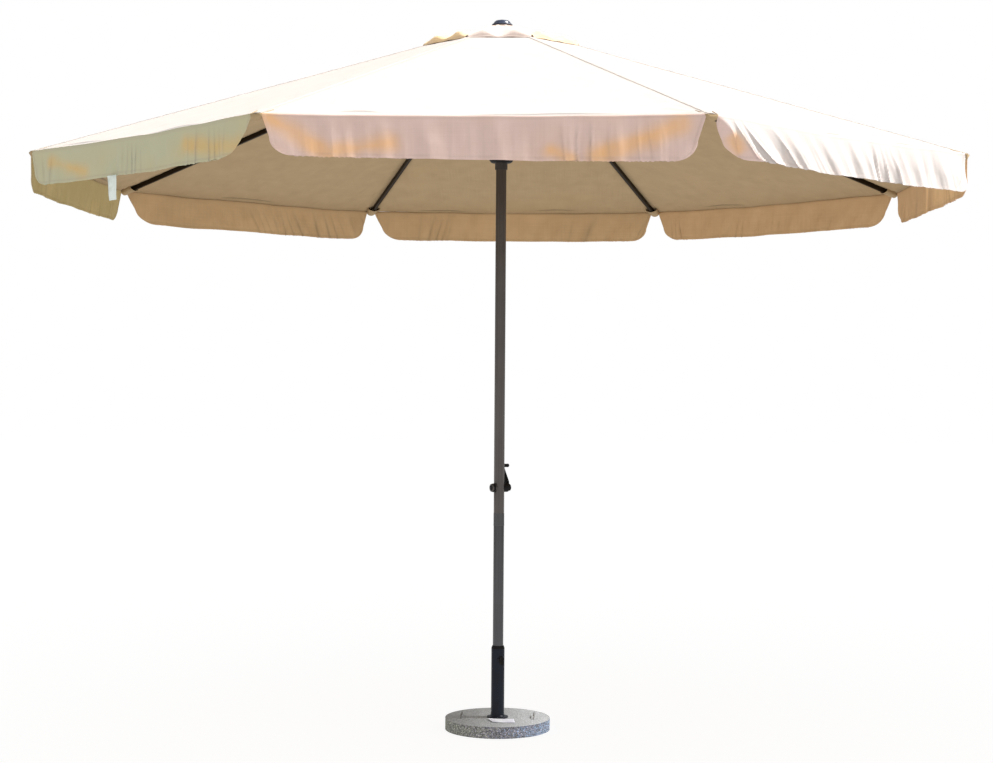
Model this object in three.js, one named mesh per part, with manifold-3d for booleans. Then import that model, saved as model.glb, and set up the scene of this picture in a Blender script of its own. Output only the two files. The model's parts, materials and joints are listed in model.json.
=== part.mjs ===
// Patio umbrella on a round weighted base: octagonal canopy with a valance and a vent cap, eight ribs and
// eight struts, a two-piece mast with a crank winch, and a clamp tube on a cast disc.
// Millimetres, +Z up, origin on the ground under the mast. -Y is the front.
import * as THREE from 'three';
import { mergeVertices } from 'three/addons/utils/BufferGeometryUtils.js';
import Module from 'manifold-3d';

const wasm = await Module();
wasm.setup();

// ---- Driving dimensions ----
const GAP = 0.3;                 // space left between pieces that touch
const SIDES = 8;                 // ribs, struts and canopy panels
const ROUND = 24;                // facets round a mast-sized tube

const BASE_R = 201;              // cast disc
const BASE_H = 44;
const BASE_EDGE = 3;
const BOLT_R = 6;
const GRIP_X = 138;              // lifting grips, set either side of the tube
const GRIP_SPAN = 74;
const GRIP_RISE = 17;
const GRIP_ROD_R = 3;
const GRIP_DEPTH = 16;

const TUBE_R = 25.2;             // upright clamp tube
const TUBE_WALL = 2.5;
const TUBE_TOP = 306;
const FOOT_R = 40;
const FOOT_T = 5;
const CLAMP_Z = 266;
const CLAMP_AZIMUTH = -70;       // degrees from +X
const CLAMP_SCREW_R = 5;

const MAST_R = 20;               // mast
const MAST_WALL = 1.6;
const MAST_FOOT_Z = 65;
const JOINT_LOW_Z = 776;         // dark coupling band between the two mast lengths
const JOINT_HIGH_Z = 823;
const SPIGOT_LENGTH = 200;
const SPIGOT_BELOW = 130;        // of it inside the lower length

const CRANK_Z = 920;             // winch
const CRANK_AXLE_R = 6;
const CRANK_ARM_LENGTH = 85;
const CRANK_AZIMUTH = 32;        // degrees from +X to the axle, knob end
const CRANK_TILT = -12;          // degrees, arm leaning to the back

const HUB_Z = 2655;              // rib pivots on the top hub
const PIVOT_R = 54;              // pivot circle of the hub and of the runner
const RIB_ANGLE = 18;            // degrees below level when open
const TIP_R = 1750;              // canopy corner from the mast axis
const RIB_W = 12;
const RIB_H = 18;
const RIB_WALL = 1.5;
const BRACKET_AT = 710;          // strut bracket along the rib from its pivot
const BRACKET_DROP = 17;         // strut pivot below the rib's centreline
const STRUT_W = 10;
const STRUT_H = 12;

const FABRIC_T = 1.2;
const FABRIC_LIFT = 10.5;        // fabric above the rib's centreline
const VENT_HOLE_R = 170;         // opening in the canopy under the vent cap
const CAP_R = 305;
const CAP_TOP_Z = 2677;
const CAP_RIM_Z = 2594;
const VALANCE_DROP = 133;
const VALANCE_INSET = 24;        // from a canopy corner to the valance's top corner
const VALANCE_TAPER = 34;        // further inset down the valance's side
const VALANCE_CORNER = 52;       // rounding of its lower corners
const FINIAL_R = 39.5;
const FINIAL_LOW_Z = 2682;
const FINIAL_TOP_Z = 2703;

// ---- Derived sizes ----
const RAD = Math.PI / 180;
const STEP = 360 / SIDES;
const HALF = (STEP / 2) * RAD;
const STRUT_LENGTH = Math.hypot(BRACKET_AT, BRACKET_DROP);
const LINK_ANGLE = RIB_ANGLE * RAD + Math.atan2(BRACKET_DROP, BRACKET_AT);
const RUNNER_Z = HUB_Z - 2 * STRUT_LENGTH * Math.sin(LINK_ANGLE);
const RIB_LENGTH = (TIP_R - PIVOT_R) / Math.cos(RIB_ANGLE * RAD) - 8;
const PANEL_ANGLE = Math.atan2(Math.tan(RIB_ANGLE * RAD), Math.cos(HALF));
const RIM_X = TIP_R * Math.cos(HALF);

// ---- Geometry helpers ----

// A three.js geometry as a manifold-3d solid with its faces pointing out.
function solid(geometry) {
  const bare = geometry.clone();
  for (const name of Object.keys(bare.attributes)) {
    if (name !== 'position') bare.deleteAttribute(name);
  }
  const merged = mergeVertices(bare, 1e-3);
  const vertProperties = new Float32Array(merged.attributes.position.array);
  const corner = (i) => new THREE.Vector3().fromArray(vertProperties, 3 * i);
  const index = merged.index.array;
  const triVerts = [];
  let volume = 0;
  for (let i = 0; i < index.length; i += 3) {
    const [a, b, c] = index.slice(i, i + 3);
    if (a === b || b === c || c === a) continue;
    triVerts.push(a, b, c);
    volume += corner(a).dot(corner(b).cross(corner(c)));
  }
  if (volume < 0) triVerts.reverse();
  const mesh = new wasm.Mesh({ numProp: 3, vertProperties, triVerts: new Uint32Array(triVerts) });
  return new wasm.Manifold(mesh);
}

// A manifold-3d solid as a three.js geometry.
function geometryOf(manifold) {
  const mesh = manifold.getMesh();
  const geometry = new THREE.BufferGeometry();
  geometry.setAttribute('position', new THREE.BufferAttribute(new Float32Array(mesh.vertProperties), 3));
  geometry.setIndex(Array.from(mesh.triVerts));
  geometry.computeVertexNormals();
  return geometry;
}

function box(x0, x1, y0, y1, z0, z1) {
  const geometry = new THREE.BoxGeometry(x1 - x0, y1 - y0, z1 - z0);
  geometry.translate((x0 + x1) / 2, (y0 + y1) / 2, (z0 + z1) / 2);
  return solid(geometry);
}

// An upright cylinder from z0 to z1.
function rod(r, z0, z1, facets = ROUND, topR = r) {
  const geometry = new THREE.CylinderGeometry(topR, r, z1 - z0, facets);
  geometry.rotateX(Math.PI / 2);
  geometry.translate(0, 0, (z0 + z1) / 2);
  return solid(geometry);
}

// A cylinder along X from x0 to x1, through (y, z).
function rodX(r, x0, x1, y, z, facets = 16) {
  const geometry = new THREE.CylinderGeometry(r, r, x1 - x0, facets);
  geometry.rotateZ(-Math.PI / 2);
  geometry.translate((x0 + x1) / 2, y, z);
  return solid(geometry);
}

// A cylinder along Y from -w/2 to w/2, through (x, z).
function rodY(r, w, x, z, facets = 10) {
  const geometry = new THREE.CylinderGeometry(r, r, w, facets);
  geometry.translate(x, 0, z);
  return solid(geometry);
}

// A solid of revolution about Z from [r, z] points. A profile off the axis is closed into a ring.
function turned(points, facets = ROUND) {
  const profile = points.map(([r, z]) => new THREE.Vector2(r, z));
  const onAxis = points[0][0] === 0 && points[points.length - 1][0] === 0;
  if (!onAxis) profile.push(profile[0].clone());
  const geometry = new THREE.LatheGeometry(profile, facets);
  geometry.rotateX(Math.PI / 2);
  return solid(geometry);
}

function tube(outerR, innerR, z0, z1, facets = ROUND) {
  return turned([[innerR, z0], [outerR, z0], [outerR, z1], [innerR, z1]], facets);
}

// An outline of [x, y] points extruded along Z from z0 to z1.
function prism(points, z0, z1) {
  const shape = new THREE.Shape(points.map(([x, y]) => new THREE.Vector2(x, y)));
  const geometry = new THREE.ExtrudeGeometry(shape, { depth: z1 - z0, bevelEnabled: false, steps: 1 });
  geometry.translate(0, 0, z0);
  return solid(geometry);
}

// Points on an arc, angles in degrees, both ends included.
function arc(cx, cy, r, from, to, steps) {
  return Array.from({ length: steps + 1 }, (_, i) => {
    const a = (from + ((to - from) * i) / steps) * RAD;
    return [cx + r * Math.cos(a), cy + r * Math.sin(a)];
  });
}

function turnedAbout(manifold, axis, degrees) {
  const turns = { x: [degrees, 0, 0], y: [0, degrees, 0], z: [0, 0, degrees] };
  return manifold.rotate(turns[axis]);
}

// ---- Materials ----
function finish(color, roughness, metalness) {
  return new THREE.MeshStandardMaterial({ color, roughness, metalness });
}
const colours = {
  stone: () => finish(0x8f8d88, 0.85, 0),
  tubeSteel: () => finish(0x23262c, 0.45, 0.6),
  plated: () => finish(0xb9bcc0, 0.3, 0.9),
  blackPlastic: () => finish(0x1b1c1f, 0.55, 0),
  mastPaint: () => finish(0x57504c, 0.45, 0.5),
  mastDark: () => finish(0x3b3938, 0.5, 0.3),
  ribPaint: () => finish(0x241f1b, 0.5, 0.4),
  ecru: () => finish(0xddc9a8, 0.9, 0),
  cap: () => finish(0x39424f, 0.45, 0.1),
};

// ---- Assembly ----
const umbrella = new THREE.Group();
umbrella.name = 'patio_umbrella';

function add(name, manifold, material, parent = umbrella) {
  const mesh = new THREE.Mesh(geometryOf(manifold), material());
  mesh.name = name;
  parent.add(mesh);
  return mesh;
}

// A group turned to an azimuth, in degrees from +X, that parts are then placed in.
function spoke(azimuth) {
  const group = new THREE.Group();
  group.rotation.z = azimuth * RAD;
  umbrella.add(group);
  return group;
}

// ---- Base: disc, grips, clamp tube and its bolt ----
const DISC_FACETS = 48;
const BOLT_RECESS_R = 20;
const BOLT_RECESS_H = 16;
const GRIP_TOP_Z = BASE_H + GRIP_RISE - GRIP_ROD_R;

function baseDisc() {
  const inner = BOLT_R + 1;
  let disc = turned([
    [BOLT_RECESS_R, 0], [BASE_R - BASE_EDGE, 0], [BASE_R, BASE_EDGE], [BASE_R, BASE_H - BASE_EDGE],
    [BASE_R - BASE_EDGE, BASE_H], [inner, BASE_H], [inner, BOLT_RECESS_H], [BOLT_RECESS_R, BOLT_RECESS_H],
  ], DISC_FACETS);
  const socket = rod(GRIP_ROD_R + 2 * GAP, BASE_H - GRIP_DEPTH - GAP, BASE_H + 1, 10);
  for (const x of [-GRIP_X, GRIP_X]) {
    for (const y of [-GRIP_SPAN / 2, GRIP_SPAN / 2]) {
      disc = disc.subtract(socket.translate([x, y, 0]));
    }
  }
  return disc;
}

// A round bar bent into a low loop in the YZ plane, its two legs sunk in the disc.
function grip() {
  const bend = 12;
  const y = GRIP_SPAN / 2;
  const low = BASE_H - GRIP_DEPTH;
  const path = new THREE.CurvePath();
  const point = (py, pz) => new THREE.Vector3(0, py, pz);
  path.add(new THREE.LineCurve3(point(-y, low), point(-y, GRIP_TOP_Z - bend)));
  path.add(new THREE.QuadraticBezierCurve3(
    point(-y, GRIP_TOP_Z - bend), point(-y, GRIP_TOP_Z), point(-y + bend, GRIP_TOP_Z)));
  path.add(new THREE.LineCurve3(point(-y + bend, GRIP_TOP_Z), point(y - bend, GRIP_TOP_Z)));
  path.add(new THREE.QuadraticBezierCurve3(
    point(y - bend, GRIP_TOP_Z), point(y, GRIP_TOP_Z), point(y, GRIP_TOP_Z - bend)));
  path.add(new THREE.LineCurve3(point(y, GRIP_TOP_Z - bend), point(y, low)));
  const section = new THREE.Shape().absarc(0, 0, GRIP_ROD_R, 0, 2 * Math.PI);
  const geometry = new THREE.ExtrudeGeometry(section, { extrudePath: path, steps: 24, curveSegments: 4 });
  return solid(geometry);
}

const WASHER_TOP = BOLT_RECESS_H - GAP;
const WASHER_T = 2.5;
const BOLT_HEAD_TOP = WASHER_TOP - WASHER_T - GAP;
const BOLT_HEAD_H = 8;
const HEX_R = 11;                // across the corners of the bolt's head and of its nut, halved
const BOLT_HOLE_R = BOLT_R + 0.5;
const FOOT_TOP = BASE_H + GAP + FOOT_T;
const NUT_H = 8;
const NUT_Z = FOOT_TOP + GAP;

// A radial solid that points along +X, turned to the clamp screw's direction.
function towardClamp(manifold) {
  return turnedAbout(manifold, 'z', CLAMP_AZIMUTH);
}

function baseTube() {
  const weld = 5;
  const bore = TUBE_R - TUBE_WALL;
  const shell = turned([
    [BOLT_HOLE_R, BASE_H + GAP], [FOOT_R, BASE_H + GAP], [FOOT_R, FOOT_TOP - 1], [FOOT_R - 1, FOOT_TOP],
    [TUBE_R + weld, FOOT_TOP], [TUBE_R, FOOT_TOP + weld], [TUBE_R, TUBE_TOP], [bore, TUBE_TOP],
    [bore, FOOT_TOP], [BOLT_HOLE_R, FOOT_TOP],
  ]);
  const boss = rodX(HEX_R, bore + 1, TUBE_R + 9.8, 0, CLAMP_Z, 6);
  const threaded = rodX(CLAMP_SCREW_R + GAP, bore - 12, TUBE_R + 20, 0, CLAMP_Z);
  const clearBore = rod(bore, CLAMP_Z - 20, CLAMP_Z + 20);
  return shell.add(towardClamp(boss).subtract(clearBore)).subtract(towardClamp(threaded));
}

function tubeBush() {
  const outer = TUBE_R - TUBE_WALL - GAP;
  const inner = MAST_R + GAP;
  const low = TUBE_TOP - 80;
  const lip = TUBE_TOP + 12;
  const bush = turned([
    [inner, low], [outer, low], [outer, TUBE_TOP + GAP], [TUBE_R, TUBE_TOP + GAP],
    [TUBE_R, TUBE_TOP + 3.5], [inner + 1.6, lip], [inner, lip],
  ]);
  return bush.subtract(towardClamp(rodX(CLAMP_SCREW_R + GAP, 10, 40, 0, CLAMP_Z)));
}

// A wing knob: an upright bar with round ends on a round neck.
function clampKnob() {
  const start = TUBE_R + 15;
  const thick = 12;
  const wing = 10;
  const endR = 6.5;
  const outline = [...arc(wing, 0, endR, -90, 90, 8), ...arc(-wing, 0, endR, 90, 270, 8)];
  const head = prism(outline, start, start + thick);
  const neck = rod(8, start - 4, start + 8, 20);
  const socket = rod(CLAMP_SCREW_R + GAP, start - 6, start + 9.5, 20);
  const knob = turnedAbout(head.add(neck).subtract(socket), 'y', 90);
  return towardClamp(knob.translate([0, 0, CLAMP_Z]));
}

add('base_disc', baseDisc(), colours.stone);
add('base_tube', baseTube(), colours.tubeSteel);
add('base_bolt', rod(HEX_R, BOLT_HEAD_TOP - BOLT_HEAD_H, BOLT_HEAD_TOP, 6)
  .add(rod(BOLT_R, BOLT_HEAD_TOP - 1, NUT_Z + NUT_H + 3)), colours.plated);
add('base_washer', tube(15, BOLT_HOLE_R, WASHER_TOP - WASHER_T, WASHER_TOP), colours.plated);
add('base_nut', rod(HEX_R, NUT_Z, NUT_Z + NUT_H, 6)
  .subtract(rod(BOLT_R + GAP, NUT_Z - 1, NUT_Z + NUT_H + 1)), colours.plated);
add('grip_left', grip(), colours.tubeSteel).position.x = -GRIP_X;
add('grip_right', grip(), colours.tubeSteel).position.x = GRIP_X;
add('tube_bush', tubeBush(), colours.blackPlastic);
add('clamp_shank', towardClamp(rodX(CLAMP_SCREW_R, MAST_R + 2 * GAP, TUBE_R + 24, 0, CLAMP_Z)),
  colours.plated);
add('clamp_knob', clampKnob(), colours.blackPlastic);

// ---- Mast: two lengths joined by a spigot inside a dark collar ----
const MAST_IN = MAST_R - MAST_WALL;
const MAST_TOP_Z = HUB_Z;
const SHOE_TOP_Z = MAST_FOOT_Z + 4;
const AXLE_HOLE_R = 10;
const PULLEY_Z = HUB_Z - 24;

function mastFoot() {
  const plug = MAST_IN - GAP;
  const plugTop = MAST_FOOT_Z + 22;
  return turned([
    [0, MAST_FOOT_Z], [MAST_R, MAST_FOOT_Z], [MAST_R, SHOE_TOP_Z], [plug, SHOE_TOP_Z], [plug, plugTop],
    [0, plugTop],
  ]);
}

function upperMast() {
  const shell = tube(MAST_R, MAST_IN, JOINT_HIGH_Z + GAP, MAST_TOP_Z);
  const axleHole = turnedAbout(rodX(AXLE_HOLE_R, -30, 30, 0, CRANK_Z), 'z', CRANK_AZIMUTH);
  const pulleyPinHole = rodX(3, -30, 30, 0, PULLEY_Z, 16);
  return shell.subtract(axleHole).subtract(pulleyPinHole);
}

function mastCollar() {
  const r = MAST_R + 0.4;
  const bead = JOINT_LOW_Z + 3;
  return turned([[MAST_IN, JOINT_LOW_Z], [r + 0.6, JOINT_LOW_Z], [r + 0.6, bead], [r, bead + 1],
    [r, JOINT_HIGH_Z - 1], [r - 0.6, JOINT_HIGH_Z], [MAST_IN, JOINT_HIGH_Z]]);
}

const spigotLow = (JOINT_LOW_Z + JOINT_HIGH_Z) / 2 - SPIGOT_BELOW;
add('mast_foot', mastFoot(), colours.blackPlastic);
add('lower_mast', tube(MAST_R, MAST_IN, SHOE_TOP_Z + GAP, JOINT_LOW_Z - GAP), colours.mastPaint);
add('mast_spigot', tube(MAST_IN - GAP, MAST_IN - 2, spigotLow, spigotLow + SPIGOT_LENGTH), colours.plated);
add('mast_collar', mastCollar(), colours.mastDark);
add('upper_mast', upperMast(), colours.mastPaint);

// ---- Crank winch, along +X of its own group: two bearings on the mast, axle with its spool, arm, knob ----
const BEARING_LEFT_R = 15;
const BEARING_RIGHT_R = 17;
const BEARING_LEFT_X = -34;
const BEARING_RIGHT_X = 36;
const ARM_X = 37;
const ARM_T = 6;
const ARM_END_X = 23;
const KNOB_PIN_X = 46;
const KNOB_PIN_R = 3;
const ARM_HUB_R = 13;
const SPOOL_R = 13;
const SPOOL_CORE_R = 9;
const SPOOL_END_X = 11;
const SPOOL_FLANGE = 2;

// A bearing on one side of the mast, its inner face hollowed to sit on the tube.
function crankBearing(r, outerX, closed) {
  const side = Math.sign(outerX);
  const span = (a, b) => [Math.min(side * a, side * b), Math.max(side * a, side * b)];
  const along = Math.abs(outerX);
  const boss = rodX(r, ...span(10, along), 0, 0, 24).subtract(rod(MAST_R + GAP, -30, 30));
  const sleeve = rodX(AXLE_HOLE_R - GAP, ...span(14, MAST_R + 4), 0, 0);
  const bore = rodX(CRANK_AXLE_R + GAP, ...span(8, closed ? along - 3 : along + 5), 0, 0);
  return boss.add(sleeve).subtract(bore);
}

function crankAxle() {
  const inner = SPOOL_END_X - SPOOL_FLANGE;
  const shaft = rodX(CRANK_AXLE_R, BEARING_LEFT_X + 3 + GAP, ARM_X + ARM_T + 5, 0, 0);
  const drum = rodX(SPOOL_CORE_R, -SPOOL_END_X, SPOOL_END_X, 0, 0);
  const left = rodX(SPOOL_R, -SPOOL_END_X, -inner, 0, 0);
  const right = rodX(SPOOL_R, inner, SPOOL_END_X, 0, 0);
  return shaft.add(drum).add(left).add(right);
}

// The arm rises along +Z from the axle and leans in towards the mast; its pin carries the knob.
function crankArm() {
  const bendLow = 20;
  const bendHigh = CRANK_ARM_LENGTH - 14;
  const outline = [[ARM_X, 1 - ARM_HUB_R], [ARM_X + ARM_T, 1 - ARM_HUB_R], [ARM_X + ARM_T, bendLow + 2],
    [ARM_END_X + ARM_T, bendHigh + 2], [ARM_END_X + ARM_T, CRANK_ARM_LENGTH + 7],
    [ARM_END_X, CRANK_ARM_LENGTH + 7], [ARM_END_X, bendHigh], [ARM_X, bendLow]];
  const bar = turnedAbout(prism(outline, -7, 7), 'x', 90);
  const hub = rodX(ARM_HUB_R, ARM_X, ARM_X + ARM_T + 3, 0, 0, 24);
  const end = rodX(9, ARM_END_X, ARM_END_X + ARM_T, 0, CRANK_ARM_LENGTH, 24);
  const pin = rodX(KNOB_PIN_R, ARM_END_X + 2, KNOB_PIN_X, 0, CRANK_ARM_LENGTH, 16);
  return bar.add(hub).add(end).add(pin).subtract(rodX(CRANK_AXLE_R + GAP, ARM_X - 1, ARM_X + 20, 0, 0));
}

function crankKnob() {
  const start = ARM_END_X + ARM_T + 0.5;
  const length = 22;
  const bore = KNOB_PIN_R + GAP;
  const profile = [[bore, 0], [5.2, 0], [6.8, 4], [6.4, 12], [7, 18], [5.6, length], [0, length],
    [0, KNOB_PIN_X - start + 1], [bore, KNOB_PIN_X - start + 1]];
  profile.push(profile[0]);
  const points = profile.map(([r, z]) => new THREE.Vector2(r, z));
  const geometry = new THREE.LatheGeometry(points, 24);
  geometry.rotateZ(-Math.PI / 2);
  geometry.translate(start, 0, CRANK_ARM_LENGTH);
  return solid(geometry);
}

const winch = spoke(CRANK_AZIMUTH);
winch.position.z = CRANK_Z;
const leftBearing = crankBearing(BEARING_LEFT_R, BEARING_LEFT_X, true);
const rightBearing = crankBearing(BEARING_RIGHT_R, BEARING_RIGHT_X, false);
add('crank_bearing_left', leftBearing, colours.blackPlastic, winch);
add('crank_bearing_right', rightBearing, colours.blackPlastic, winch);
const crank = new THREE.Group();
crank.rotation.x = CRANK_TILT * RAD;
winch.add(crank);
add('crank_axle', crankAxle(), colours.plated, crank);
add('crank_arm', crankArm(), colours.blackPlastic, crank);
add('crank_knob', crankKnob(), colours.blackPlastic, crank);

// ---- Top hub, its rib wire, the cord pulley, the vent cap's washer and the finial ----
const HUB_PLATE_R = 62;
const HUB_PLATE_LOW = HUB_Z - 10;
const HUB_PLATE_TOP = HUB_Z + 9;
const WIRE_R = 1.6;
const RIB_SLOT = RIB_W + 1;
const PLATE_FACETS = 32;
const FINIAL_SPIGOT_R = 10;
const FINIAL_SCREW_R = 4;
const PULLEY_R = 13;
const PULLEY_PIN_R = 2.5;

function ring(wireR, z, facets, sections) {
  const geometry = new THREE.TorusGeometry(PIVOT_R, wireR, sections, facets);
  geometry.translate(0, 0, z);
  return solid(geometry);
}

// Cuts one radial slot for each rib or strut, from radius r0 outwards.
function slotted(plate, width, r0, z0, z1) {
  const slot = box(r0, HUB_PLATE_R + 5, -width / 2, width / 2, z0, z1);
  let cut = plate;
  for (let k = 0; k < SIDES; k += 1) {
    cut = cut.subtract(turnedAbout(slot, 'z', ribAzimuth(k)));
  }
  return cut;
}

function ribAzimuth(k) {
  return -90 - STEP / 2 + STEP * k;
}

function topHub() {
  const sleeveR = 30;
  const sleeveLow = HUB_Z - 44;
  const screwHole = FINIAL_SCREW_R + GAP;
  const body = turned([
    [MAST_R + GAP, sleeveLow], [sleeveR - 3, sleeveLow], [sleeveR, sleeveLow + 4], [sleeveR, HUB_PLATE_LOW],
    [HUB_PLATE_R, HUB_PLATE_LOW], [HUB_PLATE_R, HUB_PLATE_TOP - 2], [HUB_PLATE_R - 2, HUB_PLATE_TOP],
    [screwHole, HUB_PLATE_TOP], [screwHole, MAST_TOP_Z + GAP], [MAST_R + GAP, MAST_TOP_Z + GAP],
  ], PLATE_FACETS);
  const pulleyPin = rodX(PULLEY_PIN_R, 2 - sleeveR, sleeveR - 2, 0, PULLEY_Z, 16);
  const plate = slotted(body, RIB_SLOT, PIVOT_R - 10, HUB_PLATE_LOW - 1, HUB_PLATE_TOP + 1);
  return plate.subtract(ring(WIRE_R + 2 * GAP, HUB_Z, 40, 6)).add(pulleyPin);
}

function cordPulley() {
  const width = 8;
  const bore = PULLEY_PIN_R + GAP;
  const profile = [[bore, -width / 2], [PULLEY_R, -width / 2], [PULLEY_R - 3, 0], [PULLEY_R, width / 2],
    [bore, width / 2]];
  const wheel = turned(profile, 20);
  return turnedAbout(wheel, 'y', 90).translate([0, 0, PULLEY_Z]);
}

function capWasher() {
  const low = HUB_PLATE_TOP + GAP;
  const top = CAP_TOP_Z - FABRIC_T - 2 * GAP;
  const bore = FINIAL_SCREW_R + GAP;
  return turned([
    [bore, low], [36, low], [44, low + 2], [40, top - 4], [FINIAL_SPIGOT_R + 1, top], [bore, top],
  ]);
}

function finial() {
  const low = FINIAL_LOW_Z;
  const screwLow = HUB_PLATE_LOW + 14;
  return turned([
    [0, screwLow], [FINIAL_SCREW_R, screwLow], [FINIAL_SCREW_R, low - 1], [FINIAL_SPIGOT_R, low - 1],
    [FINIAL_SPIGOT_R, low], [FINIAL_R - 1, low], [FINIAL_R, low + 2], [FINIAL_R - 2, low + 4.5],
    [FINIAL_R - 7, low + 7], [FINIAL_R - 9, low + 12], [FINIAL_R - 15, low + 17],
    [FINIAL_SPIGOT_R, FINIAL_TOP_Z - 0.8], [0, FINIAL_TOP_Z],
  ]);
}

// The cap is an eight-sided shallow cone whose corners lie over the ribs.
function ventCap() {
  const hole = FINIAL_SPIGOT_R + 2;
  const cone = turned([
    [hole, CAP_TOP_Z], [FINIAL_R, CAP_TOP_Z], [CAP_R, CAP_RIM_Z], [CAP_R, CAP_RIM_Z - FABRIC_T],
    [FINIAL_R, CAP_TOP_Z - FABRIC_T], [hole, CAP_TOP_Z - FABRIC_T],
  ], SIDES);
  return turnedAbout(cone, 'z', STEP / 2);
}

add('top_hub', topHub(), colours.blackPlastic);
add('hub_wire', ring(WIRE_R, HUB_Z, 40, 6), colours.plated);
add('cord_pulley', cordPulley(), colours.blackPlastic);
add('cap_washer', capWasher(), colours.blackPlastic);
add('vent_cap', ventCap(), colours.ecru);
add('finial', finial(), colours.cap);

// ---- Runner: sleeve with a slotted crown, and the flange under it ----
const RUNNER_IN = MAST_R + 0.6;
const RUNNER_OUT = 23.8;
const RUNNER_LOW = RUNNER_Z - 52;
const CROWN_LOW = RUNNER_Z - 8;
const CROWN_TOP = RUNNER_Z + 10;
const FLANGE_R = 45.8;
const PIN_R = 2.2;
const PIN_SPAN = 18;
const STRUT_SLOT = STRUT_W + 1;
const COLLAR_R = 26;             // short collar on top of the runner's crown
const COLLAR_H = 8;
const FLANGE_DEPTH = 19;

// The strut pins sit in notches that are open below.
function runner() {
  const body = turned([
    [RUNNER_IN, RUNNER_LOW], [RUNNER_OUT - 1, RUNNER_LOW], [RUNNER_OUT, RUNNER_LOW + 1],
    [RUNNER_OUT, CROWN_LOW], [HUB_PLATE_R, CROWN_LOW], [HUB_PLATE_R, CROWN_TOP - 2],
    [HUB_PLATE_R - 2, CROWN_TOP], [COLLAR_R + 2, CROWN_TOP], [COLLAR_R, CROWN_TOP + COLLAR_H],
    [RUNNER_IN, CROWN_TOP + COLLAR_H],
  ], PLATE_FACETS);
  let crown = slotted(body, STRUT_SLOT, PIVOT_R - 8, CROWN_LOW - 1, CROWN_TOP + 1);
  const clearance = 0.5;
  const half = PIN_SPAN / 2 + clearance;
  const wide = PIN_R + clearance;
  const notch = box(PIVOT_R - wide, PIVOT_R + wide, -half, half, CROWN_LOW - 1, RUNNER_Z + wide);
  for (let k = 0; k < SIDES; k += 1) {
    crown = crown.subtract(turnedAbout(notch, 'z', ribAzimuth(k)));
  }
  return crown;
}

function runnerFlange() {
  const low = CROWN_LOW - FLANGE_DEPTH;
  const roundOff = 15;
  const underside = arc(FLANGE_R - roundOff, low + roundOff, roundOff, -90, 0, 4);
  return turned([
    [RUNNER_OUT + GAP, low], ...underside, [FLANGE_R, CROWN_LOW - GAP], [RUNNER_OUT + GAP, CROWN_LOW - GAP],
  ], PLATE_FACETS);
}

add('runner', runner(), colours.blackPlastic);
add('runner_flange', runnerFlange(), colours.blackPlastic);

// ---- Ribs, struts, canopy panels and valance flaps ----

// A rectangular tube from its hub eye at the origin along +X, with the strut bracket below it.
function rib() {
  const w = RIB_W / 2;
  const h = RIB_H / 2;
  const eyeR = 7;
  const wireHole = WIRE_R + 1;
  const pinR = 2.3;
  const bar = prism([
    [0, -eyeR], [14, -eyeR], [24, -h], [RIB_LENGTH, -h], [RIB_LENGTH, h], [24, h], [14, eyeR], [0, eyeR],
  ], -w, w);
  const inside = box(40, RIB_LENGTH + 1, RIB_WALL - w, w - RIB_WALL, RIB_WALL - h, h - RIB_WALL);
  const cheekOut = STRUT_W / 2 + 3.5;
  const cheekIn = STRUT_W / 2 + 0.5;
  const cheek = prism([[-12, 3], [-12, -6], ...arc(0, -BRACKET_DROP, 7, 180, 360, 8), [12, -6], [12, 3]],
    -cheekOut, cheekOut);
  const between = box(-20, 20, -cheekIn, cheekIn, -BRACKET_DROP - 10, -h);
  const upright = turnedAbout(bar, 'x', 90).subtract(inside);
  const bracket = turnedAbout(cheek, 'x', 90).subtract(between);
  const withEye = upright.add(rodY(eyeR, RIB_W, 0, 0)).subtract(rodY(wireHole, RIB_W + 4, 0, 0));
  const hollow = box(-30, 30, RIB_WALL - w, w - RIB_WALL, RIB_WALL - h, h - RIB_WALL);
  const pin = rodY(pinR, 2 * cheekOut, 0, -BRACKET_DROP);
  return withEye.add(bracket.subtract(hollow).add(pin).translate([BRACKET_AT, 0, 0]));
}

// A flat bar from its runner pin at the origin along +X to the eye on the rib's bracket.
function strut() {
  const r = STRUT_H / 2;
  const bar = box(0, STRUT_LENGTH, -STRUT_W / 2, STRUT_W / 2, -r, r);
  const ends = rodY(r, STRUT_W, 0, 0).add(rodY(r, STRUT_W, STRUT_LENGTH, 0));
  const eye = rodY(2.7, STRUT_W + 4, STRUT_LENGTH, 0);
  return bar.add(ends).subtract(eye).add(rodY(PIN_R, PIN_SPAN, 0, 0));
}

// Half the width of a panel where its distance from the mast axis is x.
function halfWidth(x) {
  return x * Math.tan(HALF) - GAP / Math.cos(HALF);
}

// One sloping canopy panel between two ribs, facing +X, as a flat four-sided sheet above them.
function panel() {
  const hinge = PIVOT_R * Math.cos(HALF);
  const lift = FABRIC_LIFT * Math.sin(PANEL_ANGLE);
  const downSlope = (x) => (x - hinge - lift) / Math.cos(PANEL_ANGLE);
  const inner = VENT_HOLE_R * Math.cos(HALF);
  const outline = [[downSlope(inner), -halfWidth(inner)], [downSlope(RIM_X), -halfWidth(RIM_X)],
    [downSlope(RIM_X), halfWidth(RIM_X)], [downSlope(inner), halfWidth(inner)]];
  const flat = prism(outline, FABRIC_LIFT, FABRIC_LIFT + FABRIC_T);
  return turnedAbout(flat, 'y', PANEL_ANGLE / RAD).translate([hinge, 0, HUB_Z]);
}

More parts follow.
